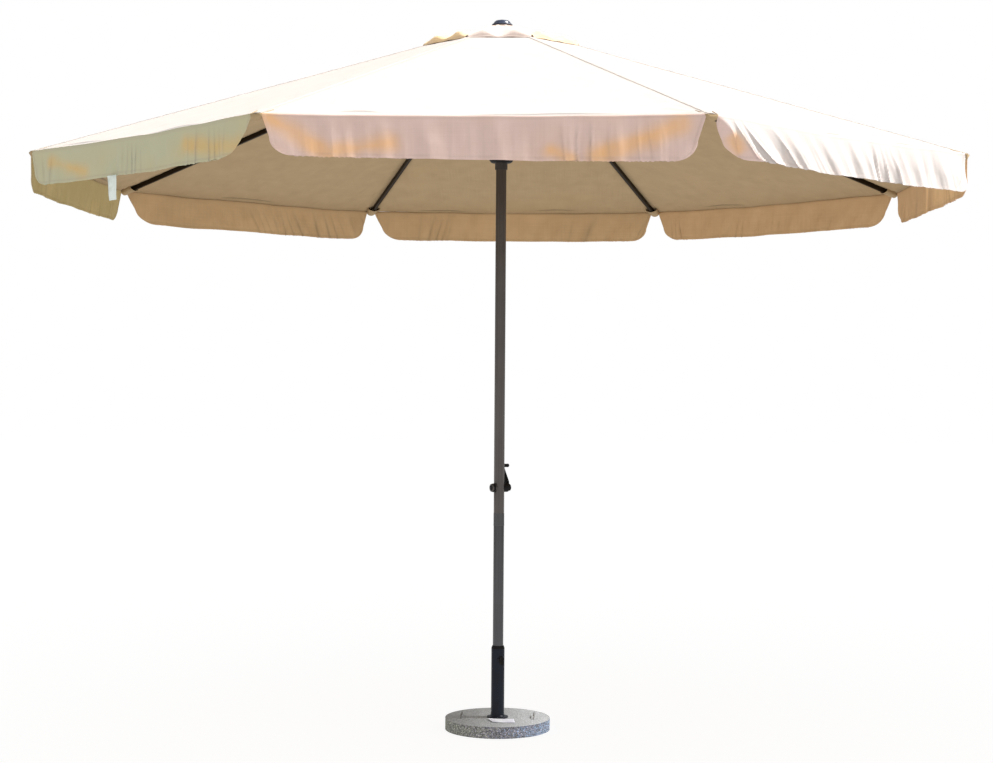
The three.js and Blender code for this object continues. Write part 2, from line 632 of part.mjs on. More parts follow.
// The flap that hangs from a panel's outer edge, facing +X, with rounded lower corners.
function valance() {
  const rimZ = HUB_Z - (RIM_X - PIVOT_R * Math.cos(HALF)) * Math.tan(PANEL_ANGLE)
    + FABRIC_LIFT / Math.cos(PANEL_ANGLE);
  const top = halfWidth(RIM_X) - VALANCE_INSET;
  const low = top - VALANCE_TAPER;
  const lift = VALANCE_CORNER - VALANCE_DROP;
  const outline = [[-top, 0], [-low, lift], ...arc(VALANCE_CORNER - low, lift, VALANCE_CORNER, 180, 270, 6),
    ...arc(low - VALANCE_CORNER, lift, VALANCE_CORNER, 270, 360, 6), [top, 0]];
  const flat = turnedAbout(prism(outline, 0, FABRIC_T), 'x', 90);
  return turnedAbout(flat, 'z', 90).translate([RIM_X + GAP, 0, rimZ]);
}

for (let k = 0; k < SIDES; k += 1) {
  const ribSpoke = spoke(ribAzimuth(k));
  const ribMesh = add(`rib_${k + 1}`, rib(), colours.ribPaint, ribSpoke);
  ribMesh.position.set(PIVOT_R, 0, HUB_Z);
  ribMesh.rotation.y = RIB_ANGLE * RAD;
  const strutMesh = add(`strut_${k + 1}`, strut(), colours.ribPaint, ribSpoke);
  strutMesh.position.set(PIVOT_R, 0, RUNNER_Z);
  strutMesh.rotation.y = -LINK_ANGLE;
  const panelSpoke = spoke(ribAzimuth(k) + STEP / 2);
  add(`panel_${k + 1}`, panel(), colours.ecru, panelSpoke);
  add(`valance_${k + 1}`, valance(), colours.ecru, panelSpoke);
}

export default umbrella;
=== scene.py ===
"""Looks of the patio umbrella: sewn canopy, valance and vent cap, finished metal, plastic and cast stone.

Everything is in metres, +Z up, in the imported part's own frame. -Y is the front.
"""
import json
import math
from contextlib import contextmanager

import bmesh
import bpy
import numpy as np
from mathutils import Matrix, Vector, noise


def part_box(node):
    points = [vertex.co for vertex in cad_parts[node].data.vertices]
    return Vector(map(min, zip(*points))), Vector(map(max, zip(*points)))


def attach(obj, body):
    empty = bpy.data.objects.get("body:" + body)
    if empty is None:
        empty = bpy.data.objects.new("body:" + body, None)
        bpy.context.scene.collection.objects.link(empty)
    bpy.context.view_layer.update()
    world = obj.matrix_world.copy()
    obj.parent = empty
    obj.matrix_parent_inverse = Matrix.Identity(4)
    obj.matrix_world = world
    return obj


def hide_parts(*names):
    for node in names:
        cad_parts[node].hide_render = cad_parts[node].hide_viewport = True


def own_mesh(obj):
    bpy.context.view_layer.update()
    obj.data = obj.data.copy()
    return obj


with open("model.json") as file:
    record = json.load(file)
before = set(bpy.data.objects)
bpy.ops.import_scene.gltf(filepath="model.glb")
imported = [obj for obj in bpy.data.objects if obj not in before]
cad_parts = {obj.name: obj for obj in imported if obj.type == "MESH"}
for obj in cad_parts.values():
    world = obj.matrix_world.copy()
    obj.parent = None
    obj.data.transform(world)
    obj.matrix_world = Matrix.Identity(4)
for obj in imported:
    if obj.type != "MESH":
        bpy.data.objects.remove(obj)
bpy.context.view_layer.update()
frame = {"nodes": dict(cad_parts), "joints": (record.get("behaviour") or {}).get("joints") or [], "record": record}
JOINTS = {j["name"]: j for j in frame["joints"]}
SCENE = bpy.context.scene

# ---- Sizes, from the frame where it has them ----
SIDES = 8
STEP = math.radians(360 / SIDES)
HALF = STEP / 2
HUB = Vector(JOINTS["rib_1_hinge"]["pos_m"])
HUB_Z = HUB.z
PIVOT_R = HUB.xy.length
RIM_X = -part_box("panel_1")[0].y              # mast axis to the middle of a canopy side
SIDE_HALF = RIM_X * math.tan(HALF)           # half the length of a canopy side
TIP_R = RIM_X / math.cos(HALF)               # mast axis to a canopy corner
RIB_ANGLE = math.radians(18)                 # below level, canopy open
PANEL_ANGLE = math.atan2(math.tan(RIB_ANGLE), math.cos(HALF))
FABRIC_LIFT = 0.0105                         # fabric above a rib's centreline
FABRIC_T = 0.0012
CAP_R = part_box("vent_cap")[1].y / math.cos(HALF)
CAP_TOP_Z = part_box("vent_cap")[1].z
CAP_RIM_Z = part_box("vent_cap")[0].z
VALANCE_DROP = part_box("valance_1")[1].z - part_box("valance_1")[0].z
VENT_X = PIVOT_R * 2.91                      # inner edge of a panel at its middle
SEAM_GAP = 0.0003
RIM_SCOOP = 0.007                            # how far the rim runs inwards between two ribs
RIM_SAG = 0.010                              # and how far it hangs down there
TAPE_W = 0.030                               # seam binding
FINIAL_R = 0.0395
CAP_LIFT = 0.017                             # how far the vent cap's ruffles stand up
TAG_Y = -0.108                               # the blank tag, from the middle of its flap
FRONT_LIGHT, REAR_LIGHT = 1.16, 0.55         # studio light from in front of the object and behind it

# How each flap hangs: width of its waves, depth of its creases, their slant, how steeply its left end
# curls in, how far its lower corners are drawn in, left and right, and how far it stands out at its hem.
FLAPS = ((0.0045, 0.0034, 0.12, 0.0, 0.0, 0.0, 0.0), (0.007, 0.0075, 1.0, 0.62, 0.09, -0.06, 0.0),
         (0.005, 0.0034, 0.3, 0.0, 0.0, 0.03, 0.0), (0.004, 0.0026, 0.5, 0.0, 0.03, 0.02, 0.0),
         (0.004, 0.0024, 0.4, 0.0, 0.0, 0.03, 0.0), (0.004, 0.0026, -0.5, 0.0, 0.0, 0.05, 0.0),
         (0.004, 0.0032, 0.1, 0.0, 0.0, 0.0, 0.009), (0.005, 0.0028, 0.2, 0.0, 0.0, 0.055, 0.0))
SHORT = {0: (0.075, -0.035), 1: (0.13, 0.0), 7: (0.08, 0.11)}  # share cut off a flap's drop, left and right
SUNLIT_WHITENING = {1: 0.9}                                  # painted sunlight: how much whiter a flap's sunlit part is painted
COOL_CAST = {6: 0.6, 7: 1.0}                               # how much of a painted cool cast of reflected light a flap has
CAP_GLOW = (0.0, 0.8, 1.0, 0.3, 0.0, 0.3, 1.0, 1.0)  # painted golden glow of light through the vent cap's ruffles, on each side

# Short tucks along the rim of each panel: from and to along the rim, and distance from it.
TUCKS = {0: ((-0.43, -0.3, 0.045), (-0.05, 0.44, 0.018)), 1: ((-0.12, 0.02, 0.03), (0.25, 0.42, 0.03)),
         2: ((-0.4, -0.2, 0.03),), 3: ((0.1, 0.35, 0.03),), 4: ((-0.3, -0.1, 0.035), (0.2, 0.45, 0.02)),
         5: ((-0.1, 0.2, 0.03),), 6: ((-0.35, 0.0, 0.025),), 7: ((-0.5, -0.22, 0.035), (0.05, 0.36, 0.02))}

# Painted golden glow of light on the flaps: from and to, as metres from the flap's middle and share of its drop,
# and then how wide the patch is.
GLOW_PATCHES = {0: ((-0.63, 0.1, -0.45, 0.95, 0.030), (-0.43, 0.85, -0.27, 0.65, 0.026),
               (0.2, 0.75, 0.26, 0.95, 0.020), (0.33, 0.9, 0.58, 0.2, 0.030)),
           1: ((-0.56, 0.5, -0.52, 0.8, 0.018),),
           2: ((-0.68, 0.5, -0.16, 0.5, 0.075), (0.0, 0.4, 0.02, 1.0, 0.030)),
           7: ((0.3, 0.45, 0.58, 0.8, 0.034), (-0.52, 0.4, -0.3, 0.75, 0.024))}


def rib_azimuth(k):
    return -math.pi / 2 - HALF + STEP * k


def panel_azimuth(k):
    return rib_azimuth(k) + HALF


# ---- Camera: the photograph's viewing angle ----
def add_camera():
    distance, height = 6.954, 1.352
    azimuth = math.radians(1.935)
    yaw = azimuth + math.radians(0.104)
    pitch = math.radians(-0.224)
    roll = math.radians(0.392)
    forward = Vector((-math.sin(yaw) * math.cos(pitch), math.cos(yaw) * math.cos(pitch), math.sin(pitch)))
    right = forward.cross(Vector((0, 0, 1))).normalized()
    up = right.cross(forward)
    rolled_right = right * math.cos(roll) + up * math.sin(roll)
    rolled_up = up * math.cos(roll) - right * math.sin(roll)
    turn = Matrix((rolled_right, rolled_up, -forward)).transposed()
    data = bpy.data.cameras.new("camera")
    data.sensor_width = 36
    data.lens = 66.1
    camera = bpy.data.objects.new("camera", data)
    place = Vector((distance * math.sin(azimuth), -distance * math.cos(azimuth), height))
    camera.matrix_world = Matrix.Translation(place) @ turn.to_4x4()
    SCENE.collection.objects.link(camera)
    SCENE.camera = camera


# ---- Node helpers ----
class Tree:
    """A material's node tree, built one short call at a time."""

    def __init__(self, name):
        self.material = bpy.data.materials.new(name)
        self.material.use_nodes = True
        self.nodes = self.material.node_tree.nodes
        self.links = self.material.node_tree.links
        self.shader = self.nodes["Principled BSDF"]
        self.output = self.nodes["Material Output"]

    def node(self, kind, inputs=None, **settings):
        made = self.nodes.new("ShaderNode" + kind)
        for name, value in settings.items():
            setattr(made, name, value)
        for name, value in (inputs or {}).items():
            self.set(made, name, value)
        return made

    def set(self, node, name, value):
        if isinstance(value, bpy.types.NodeSocket):
            self.links.new(value, node.inputs[name])
        else:
            node.inputs[name].default_value = value

    def shade(self, name, value):
        """Sets one of the shader's own sockets, or links to it."""
        self.set(self.shader, name, value)

    def math(self, operation, a, b=0.0):
        return self.node("Math", {0: a, 1: b}, operation=operation).outputs[0]

    def plus(self, a, b):
        return self.math("ADD", a, b)

    def times(self, a, b):
        return self.math("MULTIPLY", a, b)

    def noise(self, scale, detail=2.0, coords=None, rough=0.5):
        made = self.node("TexNoise", {"Scale": scale, "Detail": detail, "Roughness": rough})
        self.set(made, "Vector", coords or self.object_coords())
        return made.outputs["Fac"]

    def object_coords(self):
        return self.node("TexCoord").outputs["Object"]

    def stretched(self, x, y, z, coords=None):
        made = self.node("Mapping", {"Scale": (x, y, z)})
        self.set(made, "Vector", coords or self.object_coords())
        return made.outputs["Vector"]

    def ramp(self, factor, stops):
        made = self.nodes.new("ShaderNodeValToRGB")
        self.set(made, "Fac", factor)
        elements = made.color_ramp.elements
        while len(elements) < len(stops):
            elements.new(0.5)
        for element, (place, colour) in zip(elements, stops):
            element.position = place
            element.color = (*colour, 1)
        return made.outputs["Color"]

    def range(self, value, low, high):
        """value from 0..1 spread over low..high."""
        made = self.node("MapRange", {"Value": value, "To Min": low, "To Max": high})
        return made.outputs["Result"]

    def mix(self, factor, a, b):
        made = self.node("Mix", data_type="RGBA")
        for name, value in (("Factor", factor), ("A", a), ("B", b)):
            socket = next(s for s in made.inputs if s.name == name and s.enabled)
            if isinstance(value, bpy.types.NodeSocket):
                self.links.new(value, socket)
            else:
                socket.default_value = value if name == "Factor" else (*value, 1)
        return next(s for s in made.outputs if s.enabled)

    def bump(self, height, distance, strength=1.0):
        made = self.node("Bump", {"Height": height, "Distance": distance, "Strength": strength})
        self.shade("Normal", made.outputs["Normal"])
        return made.outputs["Normal"]


# ---- Materials ----
YARN = 0.0016                      # pitch of the weave
STITCH, THREAD = 0.0042, 0.0014    # length and width of a stitch
SEAM_DIP = 0.006                   # half the width of the dent that a seam pulls in the cloth
COOL_CAST_TINT = (0.66, 0.95, 0.64)      # what the painted cool cast of reflected light does to the cloth's colour
PAINTED_CREASE_SHADE = (0.3, 0.32, 0.36)   # and what the painted shade inside a crease does
SUNLIT_WHITE = (0.69, 0.655, 0.63)     # cloth colour painted as if sunlit


def tinted(colour, by):
    """A colour times another colour, or times a number."""
    return tuple(np.multiply(colour, by).tolist())


def fabric(name, pale, deep, warm, glow, through, sheen=0.2, shadow_band=0.0):
    """Plain-woven cloth, pale to deep, with random warm patches and painted golden glow in the warm colour. glow
    is the colour that shines through it.

    The last argument is the width of a painted shadow along the top of a hanging piece, under the edge above it.
    """
    t = Tree(name)
    cloth = t.node("UVMap", uv_map="cloth").outputs["UV"]
    parts = t.node("SeparateXYZ", {0: cloth})
    yarn = 2 * math.pi / YARN
    warp = t.math("SINE", t.times(parts.outputs["X"], yarn))
    weft = t.math("SINE", t.times(parts.outputs["Y"], yarn))
    weave = t.times(warp, weft)
    slub_x = t.noise(1, 3, t.stretched(5, 380, 1, cloth))
    slub_y = t.noise(1, 3, t.stretched(380, 5, 1, cloth))
    slub = t.times(t.plus(slub_x, slub_y), 0.5)
    grime = t.noise(16, 4)
    colour = t.ramp(t.plus(t.times(grime, 0.35), t.times(slub, 0.65)), [(0.36, deep), (0.6, pale)])

    # Painted sunlit whiteness, a painted cool cast of reflected light and a painted golden glow, from the piece's
    # own points.
    tone = t.node("SeparateXYZ", {0: t.node("Attribute", attribute_name="tone").outputs["Vector"]})
    sewn = t.node("SeparateXYZ", {0: t.node("Attribute", attribute_name="sewing").outputs["Vector"]})
    colour = t.mix(tone.outputs["Z"], colour, SUNLIT_WHITE)
    colour = t.mix(t.times(sewn.outputs["Z"], 0.78), colour, tinted(pale, COOL_CAST_TINT))
    warmed = t.mix(t.times(sewn.outputs["Z"], 0.5), warm, tinted(warm, COOL_CAST_TINT))
    # Random warm patches that the cloth has, and painted golden glow of light where the piece asks for it.
    patch = t.node("MapRange", {"Value": t.noise(3.1, 3), "From Min": 0.54, "From Max": 0.74}, clamp=True)
    warm_and_painted_glow = t.times(tone.outputs["X"], t.range(t.noise(11, 3), 0.3, 1.25))
    warm_and_painted_glow = t.math("MINIMUM", t.plus(t.times(patch.outputs["Result"], 0.3), warm_and_painted_glow), 1.0)
    colour = t.mix(warm_and_painted_glow, colour, warmed)

    # Seams with their stitches, and painted shade inside creases, tucks and gathers.
    from_seam = t.math("ABSOLUTE", sewn.outputs["Y"])
    dash = t.math("LESS_THAN", t.math("FRACT", t.math("DIVIDE", sewn.outputs["X"], STITCH)), 0.7)
    stitch = t.times(dash, t.math("LESS_THAN", from_seam, THREAD / 2))
    away = t.math("MINIMUM", t.times(from_seam, 1 / SEAM_DIP), 1.0)
    seam = tinted(deep, 0.62)
    colour = t.mix(t.times(t.math("SUBTRACT", 1.0, away), 0.22), colour, seam)
    colour = t.mix(t.times(stitch, 0.4), colour, seam)
    colour = t.mix(t.times(tone.outputs["Y"], 0.7), colour, tinted(deep, PAINTED_CREASE_SHADE))
    # Painted shadow along the top of a hanging piece, under the edge above it.
    if shadow_band:
        fade = {"Value": parts.outputs["Y"], "From Max": shadow_band, "To Min": 0.75, "To Max": 0.0}
        line = t.node("MapRange", fade, clamp=True)
        colour = t.mix(line.outputs["Result"], colour, tinted(deep, 0.35))
    t.shade("Base Color", colour)
    t.shade("Roughness", t.range(slub, 0.78, 0.95))
    t.shade("Specular IOR Level", 0.2)
    t.shade("Sheen Weight", sheen)
    t.shade("Sheen Roughness", 0.5)
    height = t.plus(t.times(weave, 0.12), t.times(slub, 0.55))
    height = t.plus(height, t.times(away, 0.8))
    height = t.plus(height, t.times(stitch, 0.5))
    normal = t.bump(height, 0.0007, 0.8)
    veil = t.node("BsdfTranslucent", {"Color": (*glow, 1), "Normal": normal})
    both = t.node("MixShader", {"Fac": through, 1: t.shader.outputs["BSDF"], 2: veil.outputs["BSDF"]})
    t.links.new(both.outputs["Shader"], t.output.inputs["Surface"])
    return t.material


def cast_stone():
    """Grey terrazzo: a ground top with small grit, and sides of pebbles, each in its own colour, under a painted
    cast of reflected light.
    """
    t = Tree("cast_stone")
    place = t.object_coords()
    pebbles, grit = 270, 420           # to a metre
    pebble = t.node("TexVoronoi", {"Scale": pebbles, "Vector": place})
    cell = t.node("SeparateColor", {0: pebble.outputs["Color"]})
    # Painted cast of reflected light on the sides: greenish on the left, bluish on the right, with each pebble's
    # own hue on top.
    across = t.node("MapRange", {"Value": t.node("SeparateXYZ", {0: place}).outputs["X"],
                                 "From Min": -0.2, "From Max": 0.2}, clamp=True)
    shade = t.plus(across.outputs["Result"], t.range(cell.outputs["Blue"], -0.3, 0.3))
    pebble_hue_and_painted_cast = t.ramp(shade, [(0.0, (0.8, 0.86, 0.62)), (0.3, (0.92, 0.9, 0.78)), (0.55, (0.88, 0.8, 0.94)),
                         (0.8, (0.62, 0.76, 1.15)), (1.0, (0.55, 0.86, 1.3))])
    greys = ((0.0, 0.04), (0.22, 0.1), (0.45, 0.2), (0.7, 0.3), (0.88, 0.43), (1.0, 0.72))
    bright = t.ramp(cell.outputs["Red"], [(stop, (grey,) * 3) for stop, grey in greys])
    stones = t.node("VectorMath", {0: pebble_hue_and_painted_cast, 1: bright}, operation="MULTIPLY").outputs["Vector"]
    edge = t.node("TexVoronoi", {"Scale": pebbles, "Vector": place}, feature="DISTANCE_TO_EDGE")
    mortar = t.math("LESS_THAN", edge.outputs["Distance"], 0.06)
    side = t.mix(mortar, stones, (0.24, 0.24, 0.25))
    speck = t.node("TexVoronoi", {"Scale": grit, "Vector": place})
    grain = t.node("SeparateColor", {0: speck.outputs["Color"]})
    top = t.ramp(grain.outputs["Green"], [(0.0, (0.1, 0.11, 0.12)), (0.18, (0.33, 0.35, 0.36)),
                                          (0.7, (0.43, 0.45, 0.47)), (1.0, (0.7, 0.72, 0.74))])
    top = t.mix(t.times(t.noise(9, 4), 0.4), top, (0.31, 0.33, 0.34))
    facing = t.node("SeparateXYZ", {0: t.node("NewGeometry").outputs["Normal"]})
    ground = t.math("GREATER_THAN", facing.outputs["Z"], 0.8)
    t.shade("Base Color", t.mix(ground, side, top))
    t.shade("Roughness", t.range(t.noise(60), 0.62, 0.9))
    knobs = t.math("SUBTRACT", 0.6, pebble.outputs["Distance"])
    rough = t.times(knobs, t.math("SUBTRACT", 1.0, t.times(ground, 0.93)))
    t.bump(t.plus(rough, t.times(t.noise(700, 2), 0.12)), 0.0016)
    return t.material


def painted(name, colour, edge, metallic, roughness, streak, gloss=0.5):
    """Powder-coated metal: fine orange peel, faint lengthwise streaks, small scuffs of the edge colour."""
    t = Tree(name)
    streaks = t.noise(1, 3, t.stretched(260, 260, 2.2))
    tone = t.plus(t.times(streaks, streak), t.times(t.noise(7, 3), 1 - streak))
    base = t.ramp(tone, [(0.3, tinted(colour, 0.72)), (0.7, tinted(colour, 1.25))])
    scuff = t.math("GREATER_THAN", t.noise(1, 5, t.stretched(90, 90, 24), 0.7), 0.705)
    t.shade("Base Color", t.mix(t.times(scuff, 0.5), base, edge))
    t.shade("Metallic", metallic)
    t.shade("Specular IOR Level", gloss)
    t.shade("Roughness", t.range(streaks, roughness - 0.08, roughness + 0.12))
    t.bump(t.noise(900, 2), 0.00012, 0.5)
    return t.material


def moulded(name, colour, roughness, gloss):
    """Moulded plastic with a fine spark-eroded grain and slightly dusty patches."""
    t = Tree(name)
    dusty = tuple(1.6 * c + 0.003 for c in colour)
    t.shade("Base Color", t.ramp(t.noise(40, 4), [(0.35, colour), (0.75, dusty)]))
    t.shade("Roughness", t.range(t.noise(120, 3), roughness - 0.1, roughness + 0.15))
    t.shade("Specular IOR Level", gloss)
    grain = t.node("TexVoronoi", {"Scale": 1500, "Vector": t.object_coords()})
    t.bump(grain.outputs["Distance"], 0.00015, 0.6)
    return t.material


def plated(name):
    """Zinc-plated steel with fine turning marks and a little tarnish."""
    t = Tree(name)
    marks = t.noise(1, 2, t.stretched(1200, 1200, 60))
    t.shade("Base Color", t.ramp(t.noise(55, 5), [(0.35, (0.3, 0.29, 0.27)), (0.6, (0.6, 0.61, 0.63))]))
    t.shade("Metallic", 1.0)
    t.shade("Roughness", t.range(marks, 0.22, 0.45))
    t.bump(marks, 0.0001, 0.4)
    return t.material


def paper(name, worn, clean):
    """Blank coated card, a little scuffed."""
    t = Tree(name)
    t.shade("Base Color", t.ramp(t.noise(30, 4), [(0.3, worn), (0.6, clean)]))
    t.shade("Roughness", t.range(t.noise(90), 0.35, 0.6))
    t.bump(t.noise(400, 2), 0.0001, 0.5)
    return t.material


TOP = fabric("canopy_top", (0.6, 0.545, 0.505), (0.53, 0.48, 0.44), (0.59, 0.515, 0.45),
             (0.9, 0.62, 0.34), 0.06)
CAP = fabric("vent_cap_outside", (0.74, 0.63, 0.57), (0.64, 0.51, 0.45), (0.94, 0.66, 0.33),
             (0.9, 0.62, 0.34), 0.06)
# The cap's underside and the canopy's underside are darker, warmer copies of the cloth on top: painted shade.
GLOW = fabric("vent_cap_underside", (0.6, 0.44, 0.34), (0.5, 0.36, 0.26), (0.94, 0.6, 0.25),
              (1.0, 0.66, 0.34), 0.3, 0.05)
UNDER = fabric("canopy_underside", (0.44, 0.318, 0.177), (0.37, 0.262, 0.143), (0.44, 0.3, 0.155),
               (0.85, 0.6, 0.34), 0.06, 0.05)
FLAP = fabric("valance_outside", (0.74, 0.565, 0.51), (0.68, 0.505, 0.44), (0.84, 0.5, 0.24),
              (1.0, 0.62, 0.3), 0.12)
# The valance's inside is a darker, warmer copy of its outside: painted shade, with a painted shadow along its top.
FLAP_IN = fabric("valance_inside", (0.68, 0.49, 0.275), (0.58, 0.41, 0.225), (0.96, 0.7, 0.38),
                 (1.0, 0.6, 0.28), 0.14, 0.05, 0.008)
STONE = cast_stone()
MAST = painted("mast_paint", (0.09, 0.079, 0.073), (0.18, 0.16, 0.15), 0.6, 0.36, 0.6)
LOWER_MAST = painted("lower_mast_paint", (0.078, 0.077, 0.082), (0.17, 0.165, 0.165), 0.6, 0.36, 0.6)
COLLAR = painted("collar", (0.085, 0.085, 0.09), (0.14, 0.14, 0.14), 0.2, 0.5, 0.4)
RIB = painted("rib_paint", (0.017, 0.010, 0.004), (0.036, 0.024, 0.013), 0.1, 0.5, 0.5, 0.12)
# Very dark steel, with a navy tint that is painted bluish reflection.
TUBE = painted("tube_steel", (0.009, 0.012, 0.022), (0.03, 0.033, 0.042), 0.15, 0.36, 0.3, 0.22)
GRIP = painted("grip_steel", (0.26, 0.25, 0.24), (0.4, 0.39, 0.38), 0.7, 0.35, 0.3)
RUNNER = moulded("runner_plastic", (0.032, 0.026, 0.022), 0.55, 0.3)
PLASTIC = moulded("black_plastic", (0.008, 0.007, 0.007), 0.55, 0.1)
FINIAL = moulded("finial_plastic", (0.016, 0.024, 0.05), 0.26, 0.6)
PLATED = plated("plated_steel")
CARD = paper("blank_card", (0.66, 0.66, 0.78), (0.84, 0.86, 0.92))
LABEL = paper("blank_label", (0.6, 0.66, 0.58), (0.8, 0.86, 0.8))


# ---- Mesh helpers ----
def new_object(name, points, faces, materials):
    mesh = bpy.data.meshes.new(name)
    mesh.from_pydata([tuple(p) for p in points], [], faces)
    for m in materials:
        mesh.materials.append(m)
    mesh.polygons.foreach_set("use_smooth", [True] * len(mesh.polygons))
    mesh.update()
    made = bpy.data.objects.new(name, mesh)
    SCENE.collection.objects.link(made)
    return made


@contextmanager
def edited(made):
    """An object's mesh as a bmesh, written back at the end."""
    mesh = bmesh.new()
    mesh.from_mesh(made.data)
    yield mesh
    mesh.to_mesh(made.data)
    mesh.free()


def cloth_sheet(name, top, low, sewing, uv, materials, warm_and_painted_glow=0.0, painted_shade=0.0, sunlit_whitening=0.0):
    """A closed sheet between two grids of points, outer face and inner face.

    sewing is the way along a seam, the distance from the nearest one, and the share of a painted cool cast of
    reflected light.
    uv is the place on the flat cloth, in metres. These and the rest are numbers or grids of numbers.
    """
    rows, columns = top.shape[:2]
    count = rows * columns
    at = np.arange(count).reshape(rows, columns)
    quads = np.stack([at[:-1, :-1], at[1:, :-1], at[1:, 1:], at[:-1, 1:]], axis=-1).reshape(-1, 4)
    faces = []
    for quad in quads.tolist():
        faces += [quad, [count + i for i in reversed(quad)]]
    rim = np.concatenate([at[0], at[1:, -1], at[-1, -2::-1], at[-2:0:-1, 0]]).tolist()
    faces += [(a, b, b + count, a + count) for a, b in zip(rim, rim[1:] + rim[:1])]
    made = new_object(name, np.concatenate([top.reshape(-1, 3), low.reshape(-1, 3)]), faces, materials)
    slots = [0, 1] * len(quads) + [0] * len(rim)
    made.data.polygons.foreach_set("material_index", slots)

    def per_point(values):
        """The values side by side for every point, outer face first."""
        grids = [np.broadcast_to(v, (rows, columns)).ravel() for v in values]
        return np.tile(np.stack(grids, axis=-1), (2, 1)).astype(np.float32)

    for layer, values in (("sewing", sewing), ("tone", (warm_and_painted_glow, painted_shade, sunlit_whitening))):
        attribute = made.data.attributes.new(layer, "FLOAT_VECTOR", "POINT")
        attribute.data.foreach_set("vector", per_point(values).ravel())
    corners = np.zeros(len(made.data.loops), np.int32)
    made.data.loops.foreach_get("vertex_index", corners)
    cloth = made.data.uv_layers.new(name="cloth")
    cloth.data.foreach_set("uv", per_point(uv)[corners].ravel())
    return made


def turned(points, azimuth):
    """Points made facing +X, turned about the mast to an azimuth."""
    c, s = math.cos(azimuth), math.sin(azimuth)
    spin = np.array([[c, s, 0], [-s, c, 0], [0, 0, 1]])
    return points @ spin


def bumps(x, y, seed, scale):
    """Smooth noise between about -1 and 1 over two arrays."""
    flat = [noise.noise(Vector((a * scale, b * scale, seed * 7.31))) for a, b in zip(x.ravel(), y.ravel())]
    return np.array(flat).reshape(x.shape)


def offset(points, amount):
    """The points of a grid moved along its own normals by amount."""
    across = np.gradient(points, axis=1)
    down = np.gradient(points, axis=0)
    normal = np.cross(down, across)
    normal /= np.linalg.norm(normal, axis=2, keepdims=True)
    return points + normal * np.asarray(amount)[..., None]


def fold_with(piece, body):
    """The piece rides on a canopy body, with a mesh of its own."""
    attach(piece, body)
    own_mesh(piece)


def swept(name, path, radius, material, sides=16):
    """A round bar along a path of points, closed at both ends."""
    points = [Vector(p) for p in path]
    rings = []
    side = Vector((1, 0, 0))
    for i, p in enumerate(points):
        ahead = (points[min(i + 1, len(points) - 1)] - points[max(i - 1, 0)]).normalized()
        side = (side - ahead * side.dot(ahead)).normalized()
        up = ahead.cross(side)
        for j in range(sides):
            a = 2 * math.pi * j / sides
            rings.append(p + radius * (math.cos(a) * side + math.sin(a) * up))
    faces = []
    for i in range(len(points) - 1):
        for j in range(sides):
            a, b = i * sides + j, i * sides + (j + 1) % sides
            faces.append((a, b, b + sides, a + sides))
    last = (len(points) - 1) * sides
    faces.append(tuple(reversed(range(sides))))
    faces.append(tuple(range(last, last + sides)))
    return new_object(name, rings, faces, [material])


def lathe(name, profile, around, surface, material):
    """A piece turned about +Z from (radius, height) points, the last joined to the first.

    surface(radius, height, angle) is where each point of it ends up.
    """
    points = []
    for r, z in profile:
        points += [surface(r, z, 2 * math.pi * j / around) for j in range(around)]
    faces = []
    for i in range(len(profile)):
        k = (i + 1) % len(profile)
        for j in range(around):
            n = (j + 1) % around
            faces.append((i * around + j, i * around + n, k * around + n, k * around + j))
    return new_object(name, points, faces, [material])


def sharpen(made, degrees=32):
    """Smooth shading that keeps edges sharper than this crisp."""
    with edited(made) as mesh:
        for edge in mesh.edges:
            edge.smooth = len(edge.link_faces) == 2 and edge.calc_face_angle(0) < math.radians(degrees)
        for face in mesh.faces:
            face.smooth = True


def bevelled(made, width):
    """Rounds every edge sharper than 34 degrees, as part of the object's own mesh."""
    bevel = made.modifiers.new("edges", "BEVEL")
    bevel.width = width
    bevel.segments = 2
    bevel.limit_method = "ANGLE"
    bevel.angle_limit = math.radians(34)
    bpy.context.view_layer.update()
    seen = made.evaluated_get(bpy.context.evaluated_depsgraph_get())
    mesh = bpy.data.meshes.new_from_object(seen)
    made.modifiers.remove(bevel)
    made.data = mesh
    sharpen(made)


def rounder(mesh, point, axis):
    """Puts more facets round an axis. New points go out to the radius of the edge that they split."""
    radius = mesh.verts.layers.float.new("radius")
    reach = {}
    for v in mesh.verts:
        arm = v.co - point
        arm -= axis * arm.dot(axis)
        v[radius] = arm.length
        reach[v] = arm
    split = []
    for edge in mesh.edges:
        a, b = (reach[v] for v in edge.verts)
        if min(a.length, b.length) < 0.001 or abs(a.length - b.length) > 3e-5:
            continue
        if math.radians(4) < a.angle(b) < math.radians(62):
            split.append(edge)
    bmesh.ops.subdivide_edges(mesh, edges=split, cuts=3, use_grid_fill=True)
    for v in mesh.verts:
        arm = v.co - point
        arm -= axis * arm.dot(axis)
        if v not in reach and arm.length > 1e-6:
            v.co += arm.normalized() * (v[radius] - arm.length)
    mesh.verts.layers.float.remove(radius)


def refined(node, material, body, about=None, width=0.0006):
    """A finer copy of a CAD node, with rounder curves about an axis and a small bevel along its edges."""
    made = bpy.data.objects.new(node + "_fine", frame["nodes"][node].data.copy())
    SCENE.collection.objects.link(made)
    with edited(made) as mesh:
        bmesh.ops.remove_doubles(mesh, verts=mesh.verts, dist=2e-6)
        bmesh.ops.dissolve_limit(mesh, angle_limit=math.radians(0.4), verts=mesh.verts, edges=mesh.edges)
        if about:
            rounder(mesh, Vector(about[0]), Vector(about[1]).normalized())
        bmesh.ops.recalc_face_normals(mesh, faces=mesh.faces)
    made.data.materials.clear()
    made.data.materials.append(material)
    bevelled(made, width)
    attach(made, body)
    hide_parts(node)


